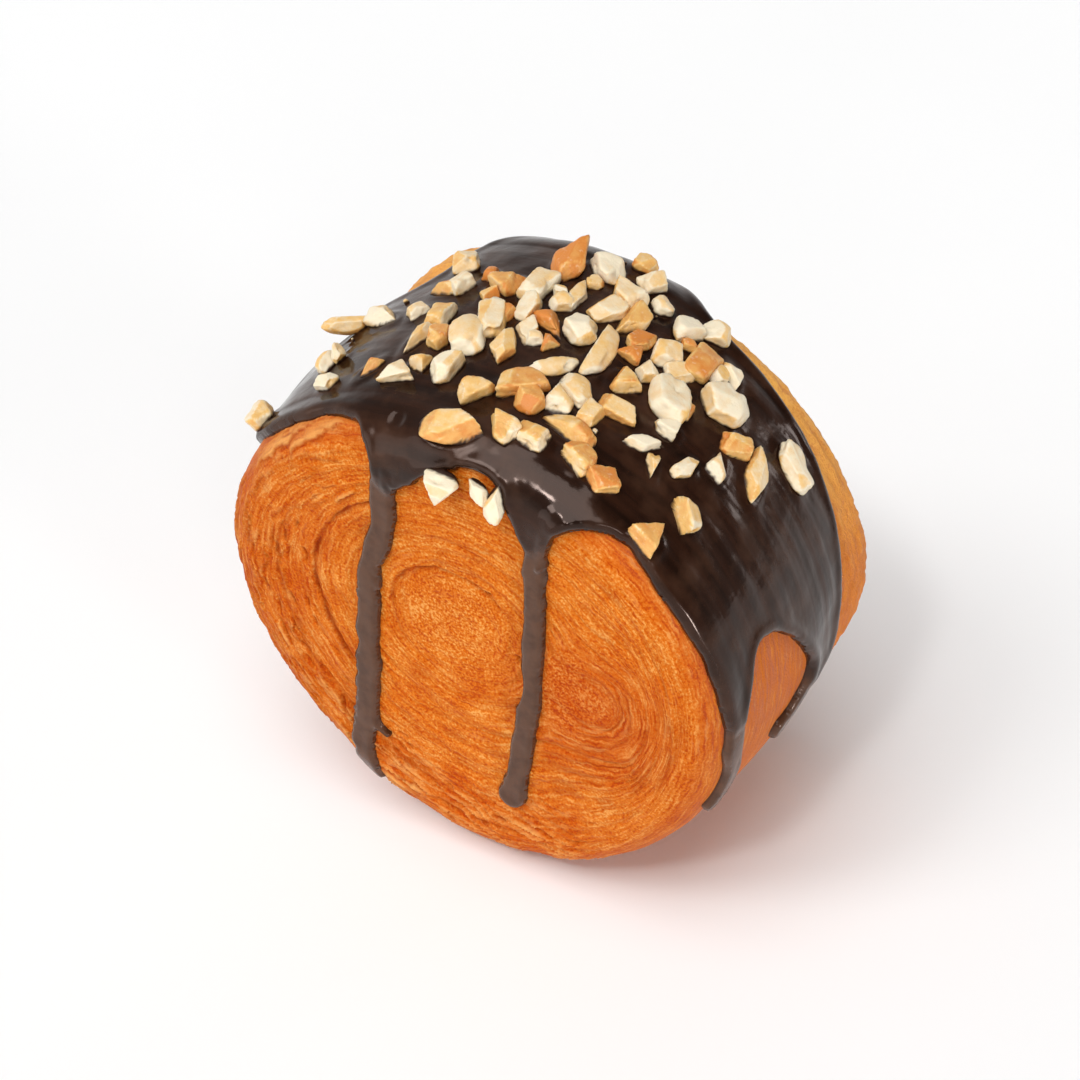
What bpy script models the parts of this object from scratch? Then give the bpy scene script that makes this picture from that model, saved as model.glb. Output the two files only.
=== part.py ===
"""A rolled croissant wheel standing on its rim, with a chocolate coat over its crown and chopped nuts on the coat.

Lengths are in millimetres until a mesh is made. A place on the roll is a turn, in degrees clockwise from the top as
seen from the front, and a reach, the distance along the section from the middle of the rim band: negative towards the
front face and positive towards the back face. The front face looks along -Y.
"""

import math
import random

import bmesh
import bpy
import numpy as np
from mathutils import Matrix, Vector, noise

MM = 0.001

# The roll
RADIUS = 50.0
BACK_RADIUS = 49.4
BULGE = 1.55
THICKNESS = 61.2
FRONT_ROUND = 8.1
BACK_ROUND = 7.2
CENTRE_HEIGHT = 50.6
BACK_SHIFT = 2.0
FRONT_LEAN = (-0.034, -0.037)
# Each wave of the outline: lobes round it, share of the radius, turn of its first crest
FRONT_WAVES = ((2, 0.030, -79), (3, 0.024, 53))
BACK_WAVES = ((2, 0.032, -30), (3, 0.031, -37))

# The spiral of layers on both faces
PITCH = 7.8
FIRST_SEAM = 12.0
EYE = Vector((0.2, 7.8))
COLUMNS = 60
SEAM_ROWS = ((0.0, 1.25), (0.15, 0.15), (0.5, 0.0), (0.85, 0.2))
PLAIN_ROWS = ((0.0, 1.0), (0.5, 0.0))
CRAG = 0.35
CRAG_SIZE = 9.0
CLEAR_RIM = 4.0

# Cracks and lifted flakes at the left of the front face: x and z of both ends from the wheel's centre
CRACKS = ((-38.5, 9, -37.4, 5), (-42.4, 0, -40.4, -7.5), (-37, -1, -35.3, -5.3), (-31.4, -13, -29, -18.5))
CRACK_WIDTH = 1.3
CRACK_DEPTH = 1.8
FLAKES = ((-38, 31, -41.5, 24), (-32, 31.5, -36, 25), (-43, 14, -43.5, 7), (-36, -22, -32, -27))
FLAKE_WIDTH = 3.0
FLAKE_LIFT = 0.7

# The coat's edge as turn and reach, once round it, and the middle it spreads from
COAT_MIDDLE = (15, 0)
COAT_EDGE = (
    (-57, -24.8), (-46, -26.7), (-35, -26.4), (-28, -27), (-24, -30), (-19.5, -39), (-12, -37.2), (-4, -33.2),
    (4, -30.6), (12, -32.2), (18, -37), (23.5, -39.5), (28, -34), (32, -29.8), (40, -27.2), (51, -28.6), (66, -27.8),
    (77, -27), (85, -26), (85, -22), (77, -18.2), (73.5, -14.5), (77, -8.5), (84, -3.2), (91, 0.5), (98, 3.5),
    (95, 9), (84, 12), (70, 16.1), (56, 19.7), (44, 22.1), (32, 23.8), (22, 25.6), (10, 32), (-2, 35.5), (-14, 33.5),
    (-26, 29), (-32, 24), (-34, 19), (-35, 14), (-39, 9.5), (-48, 8), (-60, 6), (-60, 0), (-58, -6), (-66, -12),
    (-66, -19.5),
)
COAT_RINGS = (0.14, 0.27, 0.4, 0.52, 0.63, 0.72, 0.8, 0.87, 0.94, 1.0)
COAT_CORNERS = 72
COAT_UNDER = 0.5
COAT_TOP = 1.6
COAT_LIP = 1.1

# Drips: points as x and z on the front face, or as turn and reach on the band, then the width
FACE_DRIPS = (
    (((-14, 41), (-14.5, 33), (-15, 24), (-18.5, 13), (-19.5, 2), (-20, -10), (-21, -22), (-22, -33), (-24, -42)), 5.0),
    (((17, 38), (15.8, 29), (15.6, 19), (15, 8), (13.6, -5), (11.5, -18), (9.6, -28), (9.2, -33.5)), 4.9),
)
BAND_DRIPS = (
    (((68, -22), (76, -22.8), (84, -23.6), (93, -23.8), (103, -22.6), (114, -23.8)), 4.5),
    (((82, 5), (90, 5), (97, 3), (103, -2), (106, -8)), 4.4),
)
DRIP_UNDER = 0.6
DRIP_HEIGHT = 1.7
DRIP_STEP = 4.2
DRIP_BULB = 1.6
DRIP_START = 0.45
DRIP_RISE = 16.0
# Half the drip's section: share of the half width, share of the height
DRIP_SECTION = ((-1.0, 0.12), (-0.72, 0.75), (0.0, 1.0), (0.72, 0.75), (1.0, 0.12))

# Nuts: turn, reach, length, width, heading from the rim's direction towards the back, rise of the end that leads
NUTS = (
    (-36.5, -1.5, 8, 4.5, 165, 0), (-45, -3, 8.8, 3.8, 218, 34), (-43, -13, 5.5, 3.5, 90, 10),
    (-37.5, -20, 4, 3.5, 169, 0), (-29, -17, 6, 3, 69, 0), (-21, -18, 6.5, 4.5, 8, 0), (-18, -15, 5.5, 4, 121, 0),
    (-12, -15, 7, 5.5, 64, 0), (-23, -9, 8, 3.5, 83, 0), (-22, -3, 6.5, 5, 102, 0), (-13, -7, 9.5, 6.5, 121, 0),
    (-26, 6, 7.5, 3.5, 11, 0), (-28, 14.5, 6.5, 5, 121, 0), (-14, 9, 6.5, 6, 57, 0), (-9, 10, 8, 5.5, 91, 0),
    (-7.5, 19, 11.5, 6, 92, 15), (-1, 21, 8, 5.5, 156, 0), (-1, 11, 8, 3.2, 102, 0), (6, 17, 9, 5.5, 150, 0),
    (6, 11, 8, 5, 69, 0), (-11, -2, 8.5, 5, 115, 0), (-5, -7, 8, 4.4, 107, 0), (-7, 4, 7, 4, 102, 0),
    (-1, 2, 8, 4.2, 141, 0), (5, 3, 6, 6, 8, 0), (11, 1, 12.5, 4.8, 104, 0), (11, 11, 9, 5, 83, 0),
    (6, -7, 9, 3.2, 43, 0), (-4, -18, 6.2, 4.5, 54, 0), (3, -13, 9, 5, 39, 0), (7, -16, 5, 5.5, 34, 0),
    (11, -12, 8, 5, 114, 0), (13, -9, 8, 5, 155, 0), (21, -8, 7, 5, 19, 0), (20, 17, 6, 5, 53, 0),
    (25, 21, 6, 5, 56, 0), (21, 9, 6, 6, 24, 0), (27, 12, 9.5, 5.8, 86, 0), (33, 15, 6, 4, 128, 0),
    (18, -2, 5.5, 5.5, 46, 0), (27, 0, 10, 7, 121, 0), (36, 8, 9, 8, 55, 0), (8, 23, 5.4, 5, 49, 0),
    (-3, -26, 11.5, 6.4, 15, 0), (6, -23, 7, 4.8, 152, 0), (12, -22, 6.2, 5, 177, 0), (17, -17, 9.5, 5.2, 175, 0),
    (22, -21, 6, 5.3, 165, 0), (28, -22, 5, 5, 46, 0), (42, -3, 7.2, 4, 106, 0), (42, 3, 6, 4.8, 36, 0),
    (49, 2, 11, 4.6, 119, 0), (54, 11, 9.5, 5.4, 162, 0), (44, -16, 6.3, 4.8, 144, 0), (42, -25, 6, 5.6, 50, 0),
    (-1.3, -35, 6.5, 6, 0, 0), (12.7, -33.3, 7, 3.6, 96, 0), (4, 26.5, 4.8, 4.4, 95, 20),
    (-57, -21.5, 6, 5, 142, 15), (-18, -9, 4, 5, 12, 0), (-20, 11, 3, 4, 9, 0), (-16, 5, 6, 4, 94, 0),
    (-2, 8, 5, 4, 65, 0), (-4, -1, 8, 3.9, 111, 0), (18, -12, 6, 3.6, 88, 0), (20, 3, 5.5, 4, 120, 0),
    (31, -5, 5, 4, 51, 0), (15, 8, 6, 4, 70, 0), (16, 4, 5, 4, 46, 0), (13, 19, 4, 4.5, 51, 0),
    (25, 7, 6, 4, 52, 0), (29, -11, 6.7, 3, 31, 0), (33, -13, 6.4, 2.4, 115, 0), (38, -9, 6.3, 3, 77, 0),
    (8.3, -33, 5.2, 2.6, 141, 0), (-40, -11.5, 3.8, 2.4, 90, 50), (-23.5, 6.8, 4.5, 4, 60, 0),
    (-1.3, -2.8, 3.2, 3, 30, 0), (1.5, -2.4, 3.6, 3, 60, 0), (-0.5, 16, 3.4, 3, 60, 0),
    (-4.5, 10.4, 3.8, 2.6, 160, 0), (-9.8, 1.2, 4, 3.5, 100, 0), (22.8, 14.2, 4, 2.6, 20, 0),
    (31, 12.8, 4.6, 3.5, 80, 0), (31, 0.7, 3.6, 2.6, 100, 0), (-28.5, -1.2, 4, 3.8, 60, 0),
)
NUT_SINK = 1.05
NUT_RAISE = 0.38
NUT_BASE_HEIGHT = 1.3
NUT_PLUMPNESS = 0.38
NUT_SIDES = 5
NUT_SEED = 7

COLOURS = {"pastry": (0.70, 0.28, 0.07, 1.0), "chocolate_coat": (0.045, 0.025, 0.018, 1.0)}


def clear_scene():
    for obj in list(bpy.data.objects):
        bpy.data.objects.remove(obj, do_unlink=True)


def section():
    """Points of half the roll's section as y and radius, from the middle of the front face to that of the back."""
    half = THICKNESS / 2
    turn = np.linspace(0, math.pi / 2, 13)
    share = np.linspace(0, 1, 31)[1:-1]
    front = np.stack((FRONT_ROUND * (1 - np.cos(turn)) - half, RADIUS - FRONT_ROUND * (1 - np.sin(turn))), 1)
    back = np.stack((half - BACK_ROUND * (1 - np.sin(turn)), BACK_RADIUS - BACK_ROUND * (1 - np.cos(turn))), 1)
    y = front[-1, 0] + (back[0, 0] - front[-1, 0]) * share
    band = np.stack((y, RADIUS + (BACK_RADIUS - RADIUS) * share + BULGE * 4 * share * (1 - share)), 1)
    return np.concatenate((((-half, 0),), front, band, back, ((half, 0),)))


SECTION = section()
REACH = np.concatenate(((0,), np.cumsum(np.linalg.norm(np.diff(SECTION, axis=0), axis=1))))
REACH -= np.interp(0, SECTION[:, 0], REACH)
FRONT_FLAT = REACH[1]
BACK_FLAT = REACH[-2]
SLOPES = np.gradient(SECTION, REACH, axis=0)


def wave(turn, waves):
    return sum(share * math.cos(lobes * math.radians(turn - crest)) for lobes, share, crest in waves)


def skin(turn, reach, lift=0.0):
    """The point of the roll's smooth skin at a turn and a reach, moved outwards by lift."""
    y = np.interp(reach, REACH, SECTION[:, 0]) - lift * np.interp(reach, REACH, SLOPES[:, 1])
    radius = np.interp(reach, REACH, SECTION[:, 1]) + lift * np.interp(reach, REACH, SLOPES[:, 0])
    share = min(max(y / THICKNESS + 0.5, 0), 1)
    radius *= 1 + wave(turn, FRONT_WAVES) * (1 - share) + wave(turn, BACK_WAVES) * share
    x = radius * math.sin(math.radians(turn))
    z = radius * math.cos(math.radians(turn))
    y += (FRONT_LEAN[0] * x + FRONT_LEAN[1] * z) * (1 - share)
    return Vector((x + BACK_SHIFT * share, y, z + CENTRE_HEIGHT))


def front_place(x, z):
    """Turn and reach of a point of the front face, given from the wheel's centre."""
    turn = math.degrees(math.atan2(x, z))
    radius = math.hypot(x, z) / (1 + wave(turn, FRONT_WAVES))
    rising = REACH < 0
    return turn, float(np.interp(radius, SECTION[rising, 1], REACH[rising]))


def frame(turn, reach, lift=0.0):
    """The skin point with the directions round the wheel, along the section and outwards, as a matrix."""
    here = skin(turn, reach, lift)
    around = (skin(turn + 0.5, reach, lift) - here).normalized()
    along = skin(turn, reach + 0.2, lift) - here
    outwards = around.cross(along).normalized()
    along = outwards.cross(around)
    matrix = Matrix((around, along, outwards)).transposed().to_4x4()
    matrix.translation = here
    return matrix


def crag(point):
    """Depth of the crust's unevenness at a point, never outwards."""
    return CRAG * (0.5 + 0.5 * noise.noise(point / CRAG_SIZE))


def make_object(name, mesh_data, collection=None):
    mesh = bpy.data.meshes.new(name)
    mesh_data.to_mesh(mesh)
    mesh_data.free()
    obj = bpy.data.objects.new(name, mesh)
    (collection or bpy.context.scene.collection).objects.link(obj)
    return obj


def add_faces(mesh_data, lower, upper):
    """Faces between two rings of points, left out where they have no area."""
    count = len(lower)
    for i in range(count):
        j = (i + 1) % count
        corners = []
        for corner in (lower[i], lower[j], upper[j], upper[i]):
            if corner not in corners:
                corners.append(corner)
        if len(corners) > 2:
            mesh_data.faces.new(corners)


def face_rows(rows, flat_radius):
    """Rows of one face's spiral, as lists of x, z and depth by column; a row's end is the start of the next turn."""
    turns = math.ceil((flat_radius - FIRST_SEAM) / PITCH)
    first = -math.ceil(FIRST_SEAM / PITCH) - 1
    for lap in range(first, turns + 1):
        for share, depth in rows:
            row = []
            for column in range(COLUMNS + 1):
                sweep = column / COLUMNS
                distance = FIRST_SEAM + PITCH * (lap + share + sweep)
                distance = 0 if distance < 1.5 else min(distance, flat_radius)
                if distance > flat_radius - 1.2:
                    distance = flat_radius
                drift = 1 - (distance / flat_radius) ** 4
                angle = -2 * math.pi * sweep
                x = distance * math.sin(angle) + EYE.x * drift
                z = distance * math.cos(angle) + EYE.y * drift
                fade = min(1, distance / 6, (flat_radius - distance) / CLEAR_RIM)
                row.append((x, z, depth * fade))
            yield row


def add_face(mesh_data, ring, rows, flat_radius, flat_reach):
    """A face of the roll inside a ring of corners, its layers in a spiral."""
    towards = 1 if flat_reach > 0 else -1
    laps = list(face_rows(rows, flat_radius))
    per_lap = len(rows)
    corners = []
    for row in laps:
        line = []
        for column, (x, z, depth) in enumerate(row[:-1]):
            if math.hypot(x, z) > flat_radius - 0.01:
                line.append(ring[column])
                continue
            turn = math.degrees(math.atan2(x, z))
            reach = flat_reach + towards * (flat_radius - math.hypot(x, z))
            here = skin(turn, reach)
            line.append(mesh_data.verts.new(skin(turn, reach, -depth - crag(here) * min(1, depth + 0.4))))
        corners.append(line)
    for first in range(len(corners) - 1):
        for column in range(COLUMNS):
            if column + 1 < COLUMNS:
                quad = [corners[first][column], corners[first][column + 1]]
                quad += [corners[first + 1][column + 1], corners[first + 1][column]]
            elif first + 1 + per_lap < len(corners):
                quad = [corners[first][column], corners[first + per_lap][0]]
                quad += [corners[first + 1 + per_lap][0], corners[first + 1][column]]
            else:
                quad = [corners[first][column], ring[0], corners[first + 1][column]]
            kept = [corner for i, corner in enumerate(quad) if corner not in quad[:i]]
            if len(kept) > 2 and mesh_data.faces.get(kept) is None:
                mesh_data.faces.new(kept)


def roll_body():
    """The roll: a band between two spiral faces, flattened a little where it rests."""
    mesh_data = bmesh.new()
    front = np.linspace(FRONT_FLAT, FRONT_ROUND - THICKNESS / 2, 5)
    back = np.linspace(THICKNESS / 2 - BACK_ROUND, BACK_FLAT, 5)
    band = np.linspace(front[-1], back[0], 8)[1:-1]
    rings = []
    for reach in (*front, *band, *back):
        inner = FRONT_FLAT < reach < BACK_FLAT
        ring = []
        for column in range(COLUMNS):
            turn = -360 * column / COLUMNS
            here = skin(turn, reach)
            ring.append(mesh_data.verts.new(skin(turn, reach, -crag(here) if inner else 0)))
        rings.append(ring)
    for lower, upper in zip(rings, rings[1:]):
        add_faces(mesh_data, lower, upper)
    add_face(mesh_data, rings[0], SEAM_ROWS, RADIUS - FRONT_ROUND, FRONT_FLAT)
    add_face(mesh_data, rings[-1], PLAIN_ROWS, BACK_RADIUS - BACK_ROUND, BACK_FLAT)
    for vertex in mesh_data.verts:
        vertex.co.z = max(vertex.co.z, 0)
        vertex.co *= MM
    bmesh.ops.remove_doubles(mesh_data, verts=mesh_data.verts, dist=0.00005)
    bmesh.ops.dissolve_degenerate(mesh_data, edges=mesh_data.edges, dist=0.00002)
    bmesh.ops.recalc_face_normals(mesh_data, faces=mesh_data.faces)
    return make_object("pastry", mesh_data)


def hull(name, points, collection):
    """A solid stretched over points given in millimetres."""
    mesh_data = bmesh.new()
    corners = [mesh_data.verts.new(point * MM) for point in points]
    result = bmesh.ops.convex_hull(mesh_data, input=corners)
    inside = {item for item in result["geom_interior"] + result["geom_unused"] if isinstance(item, bmesh.types.BMVert)}
    bmesh.ops.delete(mesh_data, geom=list(inside), context="VERTS")
    bmesh.ops.recalc_face_normals(mesh_data, faces=mesh_data.faces)
    return make_object(name, mesh_data, collection)


def blade(name, ends, width, heights, collection):
    """A thin pointed wedge lying on the front face from one end to the other, with its middle from low to high."""
    start, stop = (frame(*front_place(*ends[i : i + 2])) for i in (0, 2))
    middle = frame(*front_place((ends[0] + ends[2]) / 2, (ends[1] + ends[3]) / 2))
    outwards = Vector(middle.col[2][:3])
    side = (stop.translation - start.translation).cross(outwards).normalized() * width / 2
    low, high = heights
    points = [start.translation + outwards * 0.3, stop.translation + outwards * 0.3]
    points += [middle.translation + side + outwards * high, middle.translation - side + outwards * high]
    points += [middle.translation + outwards * low]
    return hull(name, points, collection)


def join(obj, collection, operation):
    """Applies one Boolean with every object of the collection, then removes them."""
    modifier = obj.modifiers.new(operation.lower(), "BOOLEAN")
    modifier.operation = operation
    modifier.operand_type = "COLLECTION"
    modifier.collection = collection
    modifier.solver = "EXACT"
    with bpy.context.temp_override(object=obj):
        bpy.ops.object.modifier_apply(modifier=modifier.name)
    for part in list(collection.objects):
        bpy.data.objects.remove(part, do_unlink=True)
    bpy.data.collections.remove(collection)


def new_collection(name):
    collection = bpy.data.collections.new(name)
    bpy.context.scene.collection.children.link(collection)
    return collection


def add_cracks_and_flakes(body):
    flakes = new_collection("flakes")
    for number, ends in enumerate(FLAKES):
        blade(f"flake_{number}", ends, FLAKE_WIDTH, (-1.5, FLAKE_LIFT), flakes)
    join(body, flakes, "UNION")
    cracks = new_collection("cracks")
    for number, ends in enumerate(CRACKS):
        blade(f"crack_{number}", ends, CRACK_WIDTH, (-CRACK_DEPTH, 0.6), cracks)
    join(body, cracks, "DIFFERENCE")


def smooth_path(points, samples, closed):
    """Points of a smooth curve through the given ones, so many for each stretch."""
    count = len(points)
    curve = []
    for i in range(count if closed else count - 1):
        if closed:
            around = [points[(i + k) % count] for k in (-1, 0, 1, 2)]
        else:
            around = [points[min(max(i + k, 0), count - 1)] for k in (-1, 0, 1, 2)]
        a, b, c, d = (Vector(point) for point in around)
        for step in range(samples):
            t = step / samples
            bend = b * 2 + (c - a) * t + (a * 2 - b * 5 + c * 4 - d) * t**2 + (b * 3 - a - c * 3 + d) * t**3
            curve.append(bend / 2)
    if not closed:
        curve.append(Vector(points[-1]))
    return curve


def walk(path):
    """Distance covered on the skin at each place of a path."""
    points = [skin(*place) for place in path]
    return np.concatenate(((0,), np.cumsum([(b - a).length for a, b in zip(points, points[1:])])))


def places_at(path, walked, wanted):
    """The places of a path at the wanted distances along it."""
    turns, reaches = (np.interp(wanted, walked, [place[i] for place in path]) for i in (0, 1))
    return [Vector(place) for place in zip(turns, reaches)]


def coat_sheet():
    """The coat as a closed sheet spread from its middle to its wavy edge, with a thick rounded lip."""
    mesh_data = bmesh.new()
    middle = Vector(COAT_MIDDLE)
    path = smooth_path(COAT_EDGE, 6, True)
    path.append(path[0])
    walked = walk(path)
    edge = places_at(path, walked, np.linspace(0, walked[-1], COAT_CORNERS + 1)[:-1])
    rings = {}
    for side, lift in (("top", COAT_TOP), ("under", COAT_UNDER)):
        rings[side] = []
        for share in COAT_RINGS:
            height = COAT_LIP if side == "top" and share == 1 else lift
            places = [middle.lerp(point, share) for point in edge]
            rings[side].append([mesh_data.verts.new(skin(*place, height)) for place in places])
        centre = mesh_data.verts.new(skin(*middle, lift))
        first = rings[side][0]
        for i, corner in enumerate(first):
            mesh_data.faces.new((centre, corner, first[(i + 1) % len(first)]))
        for lower, upper in zip(rings[side], rings[side][1:]):
            add_faces(mesh_data, lower, upper)
    add_faces(mesh_data, rings["top"][-1], rings["under"][-1])
    for vertex in mesh_data.verts:
        vertex.co *= MM
    bmesh.ops.recalc_face_normals(mesh_data, faces=mesh_data.faces)
    return make_object("chocolate_coat", mesh_data)


def drip(name, path, width, collection):
    """A run of chocolate with a domed section and a round end, lying just over the skin."""
    path = smooth_path(path, 8, False)
    walked = walk(path)
    end = walked[-1]
    tip = 0.55 * width
    wanted = [*np.linspace(0, end - tip, round(end / DRIP_STEP)), end - tip * 0.5, end - tip * 0.16, end]
    places = places_at(path, walked, wanted)
    mesh_data = bmesh.new()
    rings = []
    for number, place in enumerate(places):
        here = frame(*place)
        before = skin(*places[max(number - 1, 0)])
        after = skin(*places[min(number + 1, len(places) - 1)])
        outwards = Vector(here.col[2][:3])
        side = (after - before).cross(outwards).normalized()
        left = end - wanted[number]
        full = math.sqrt(max(0.06, 1 - max(0, 1 - left / tip) ** 2))
        rise = min(1, full, DRIP_START + wanted[number] / DRIP_RISE)
        if left < DRIP_BULB * width:
            full *= 1.12
        ring = []
        for across, up in DRIP_SECTION:
            height = DRIP_UNDER + DRIP_HEIGHT * up * rise
            ring.append(here.translation + side * across * full * width / 2 + outwards * height)
        for across in (1, -1):
            ring.append(here.translation + side * across * full * width * 0.44 + outwards * DRIP_UNDER)
        rings.append([mesh_data.verts.new(point * MM) for point in ring])
    for lower, upper in zip(rings, rings[1:]):
        add_faces(mesh_data, lower, upper)
    mesh_data.faces.new(rings[0])
    mesh_data.faces.new(rings[-1])
    bmesh.ops.recalc_face_normals(mesh_data, faces=mesh_data.faces)
    return make_object(name, mesh_data, collection)


def nut_corners(rng, length, width):
    """Corners of one chopped nut on its own base: an uneven five-sided chip with a smaller, tilted top."""
    height = (NUT_BASE_HEIGHT + NUT_PLUMPNESS * width) * rng.uniform(0.85, 1.15)
    narrow = rng.uniform(0.55, 0.9)
    tilt = Vector((rng.uniform(-0.5, 0.5), rng.uniform(-0.5, 0.5)))
    shift = Vector((rng.uniform(-0.1, 0.1), rng.uniform(-0.1, 0.1)))
    corners = []
    for side in range(NUT_SIDES):
        angle = 2 * math.pi * (side + rng.uniform(-0.25, 0.25)) / NUT_SIDES
        low = Vector((math.cos(angle), math.sin(angle))) * rng.uniform(0.43, 0.53)
        high = low * narrow * rng.uniform(0.85, 1.1) + shift
        corners.append(Vector((low.x * length, low.y * width, 0)))
        corners.append(Vector((high.x * length, high.y * width, height * (1 + tilt.dot(high)))))
    return corners


def nut_place(turn, reach, length, heading, rise):
    """Where a nut's base lies: its middle goes up as its leading end rises, so that its other end stays in the coat."""
    rise = math.radians(rise)
    turned = frame(turn, reach, NUT_SINK) @ Matrix.Rotation(math.radians(heading), 4, "Z")
    raised = Matrix.Translation((0, 0, NUT_RAISE * length * math.sin(rise)))
    return turned @ raised @ Matrix.Rotation(-rise, 4, "Y")


def nut(name, rng, row, collection):
    turn, reach, length, width, heading, rise = row
    place = nut_place(turn, reach, length, heading, rise)
    return hull(name, [place @ corner for corner in nut_corners(rng, length, width)], collection)


def chocolate_coat():
    """The coat with its drips and the nuts that stick in it, all one solid."""
    coat = coat_sheet()
    toppings = new_collection("toppings")
    for number, (points, width) in enumerate(FACE_DRIPS):
        drip(f"face_drip_{number}", [front_place(*point) for point in points], width, toppings)
    for number, (path, width) in enumerate(BAND_DRIPS):
        drip(f"band_drip_{number}", path, width, toppings)
    rng = random.Random(NUT_SEED)
    for number, row in enumerate(NUTS):
        nut(f"nut_{number}", rng, row, toppings)
    join(coat, toppings, "UNION")
    return coat


def drop_scraps(obj):
    """Leaves only the largest connected piece of the object's mesh."""
    mesh_data = bmesh.new()
    mesh_data.from_mesh(obj.data)
    left = set(mesh_data.verts)
    pieces = []
    while left:
        piece = {left.pop()}
        edge = list(piece)
        while edge:
            near = {link.other_vert(vertex) for vertex in edge for link in vertex.link_edges} & left
            left -= near
            piece |= near
            edge = list(near)
        pieces.append(piece)
    pieces.sort(key=len)
    scraps = [vertex for piece in pieces[:-1] for vertex in piece]
    bmesh.ops.delete(mesh_data, geom=scraps, context="VERTS")
    mesh_data.to_mesh(obj.data)
    mesh_data.free()


def paint(obj):
    material = bpy.data.materials.new(obj.name)
    material.use_nodes = True
    shader = material.node_tree.nodes["Principled BSDF"]
    shader.inputs["Base Color"].default_value = COLOURS[obj.name]
    shader.inputs["Roughness"].default_value = 0.35
    obj.data.materials.clear()
    obj.data.materials.append(material)
    for polygon in obj.data.polygons:
        polygon.use_smooth = True


clear_scene()
pastry = roll_body()
add_cracks_and_flakes(pastry)
coat = chocolate_coat()
for node in (pastry, coat):
    drop_scraps(node)
    paint(node)
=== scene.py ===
"""The looks of the rolled croissant wheel: layered crust, glossy chocolate coat with drips, and chopped nuts.

Lengths are in millimetres until a mesh is made. A place on the roll is a turn, in degrees clockwise from
the top as seen from the front, and a reach, the distance along the section from the middle of the rim band:
negative towards the front face and positive towards the back one. The front face looks along -Y.
"""

import math
import random

import bpy
import numpy as np
from mathutils import Matrix, Vector, noise
from mathutils.kdtree import KDTree


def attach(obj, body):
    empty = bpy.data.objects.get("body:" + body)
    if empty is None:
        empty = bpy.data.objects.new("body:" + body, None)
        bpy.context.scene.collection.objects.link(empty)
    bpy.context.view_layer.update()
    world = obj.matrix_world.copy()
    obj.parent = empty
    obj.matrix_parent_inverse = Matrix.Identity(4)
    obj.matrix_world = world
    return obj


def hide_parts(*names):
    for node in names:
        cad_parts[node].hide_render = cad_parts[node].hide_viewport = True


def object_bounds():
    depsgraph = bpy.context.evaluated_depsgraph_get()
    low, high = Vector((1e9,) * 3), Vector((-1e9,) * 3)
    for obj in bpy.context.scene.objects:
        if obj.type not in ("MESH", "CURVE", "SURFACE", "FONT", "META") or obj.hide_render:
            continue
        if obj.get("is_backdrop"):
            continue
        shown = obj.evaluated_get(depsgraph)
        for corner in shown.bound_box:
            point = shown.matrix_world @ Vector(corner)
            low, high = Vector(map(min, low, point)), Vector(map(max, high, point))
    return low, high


MM = 0.001

# The roll, as in the CAD part
RADIUS = 50.0
BACK_RADIUS = 49.4
BULGE = 1.55
THICKNESS = 61.2
FRONT_ROUND = 8.1
BACK_ROUND = 7.2
CENTRE_HEIGHT = 50.6
BACK_SHIFT = 2.0
FRONT_LEAN = (-0.034, -0.037)
FRONT_WAVES = ((2, 0.030, -79), (3, 0.024, 53))
BACK_WAVES = ((2, 0.032, -30), (3, 0.031, -37))
FRONT_FLAT_RADIUS = RADIUS - FRONT_ROUND
BACK_FLAT_RADIUS = BACK_RADIUS - BACK_ROUND
CRAG = 0.35
CRAG_SIZE = 9.0
CRAG_SHARE = 0.8

# The spiral of layers and its second eye, where the lines wrap round
PITCH = 7.8
FIRST_SEAM = 12.0
EYE = (0.2, 7.8)
SECOND_EYE = (25.0, 1.0)
SECOND_EYE_START = 12.0
EYE_BLEND = 5.0
SEAM_DEPTH = 0.6
SEAM_WIDTH = 0.3
SEAM_WOBBLE = 0.4
CRINKLE = 0.35
FAINT_SEAM = 0.22
# Seams that stand open: lap of the spiral, first and last turn, strength
OPEN_SEAMS = (
    (0, -68, 30, 1.0), (2, -120, -22, 1.3), (1, -20, 40, 0.5), (3, -170, -60, 0.65), (2, 90, 178, 0.45),
)
# The front face and the back one fade into the band between these reaches
FRONT_FADE = (-34, -25)
BACK_FADE = (27, 36)
# The layers' lines begin between these distances from the middle of the spiral
EYE_FADE = (7, 15)
# Turns between which the front rim is smooth
PLAIN_TURNS = (38, 128)

# Slits between the layers, as turn and reach of both ends
SLITS = (
    (-73, -32.4, -83, -33), (-68.5, -39.8, -74, -40.7), (-75.5, -38.9, -81.5, -40.1),
    (-71.5, -44, -74.5, -45.3), (-92.5, -41.3, -97.5, -41.9), (-90.5, -36.1, -95, -36.7),
    (-90.5, -48.7, -95.5, -49.7), (-109, -38.5, -116.5, -40.4), (-130.5, -40.4, -137, -37.9),
    (158, -38.5, 154.5, -35.6), (172.5, -38.9, 168, -38.2), (179.5, -36.4, 174, -35.8),
    (-170, -36.4, -179, -36.4), (15, -58.6, 21, -57.6), (65, -64.9, 76, -64.4),
)
# Patches of smaller slits: first and last turn, inner and outer reach, how many, slant
SLIT_PATCHES = ((-152, -62, -48, -33, 54, 0.0), (135, 210, -44, -32, 16, 0.9))
# Spans of the smaller slits' length, skew and depth
SLIT_SPANS = ((2.5, 7), (-0.12, 0.08), (0.25, 0.8))
SLIT_WIDTH = 0.34
SLIT_DEPTH = 0.8

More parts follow.
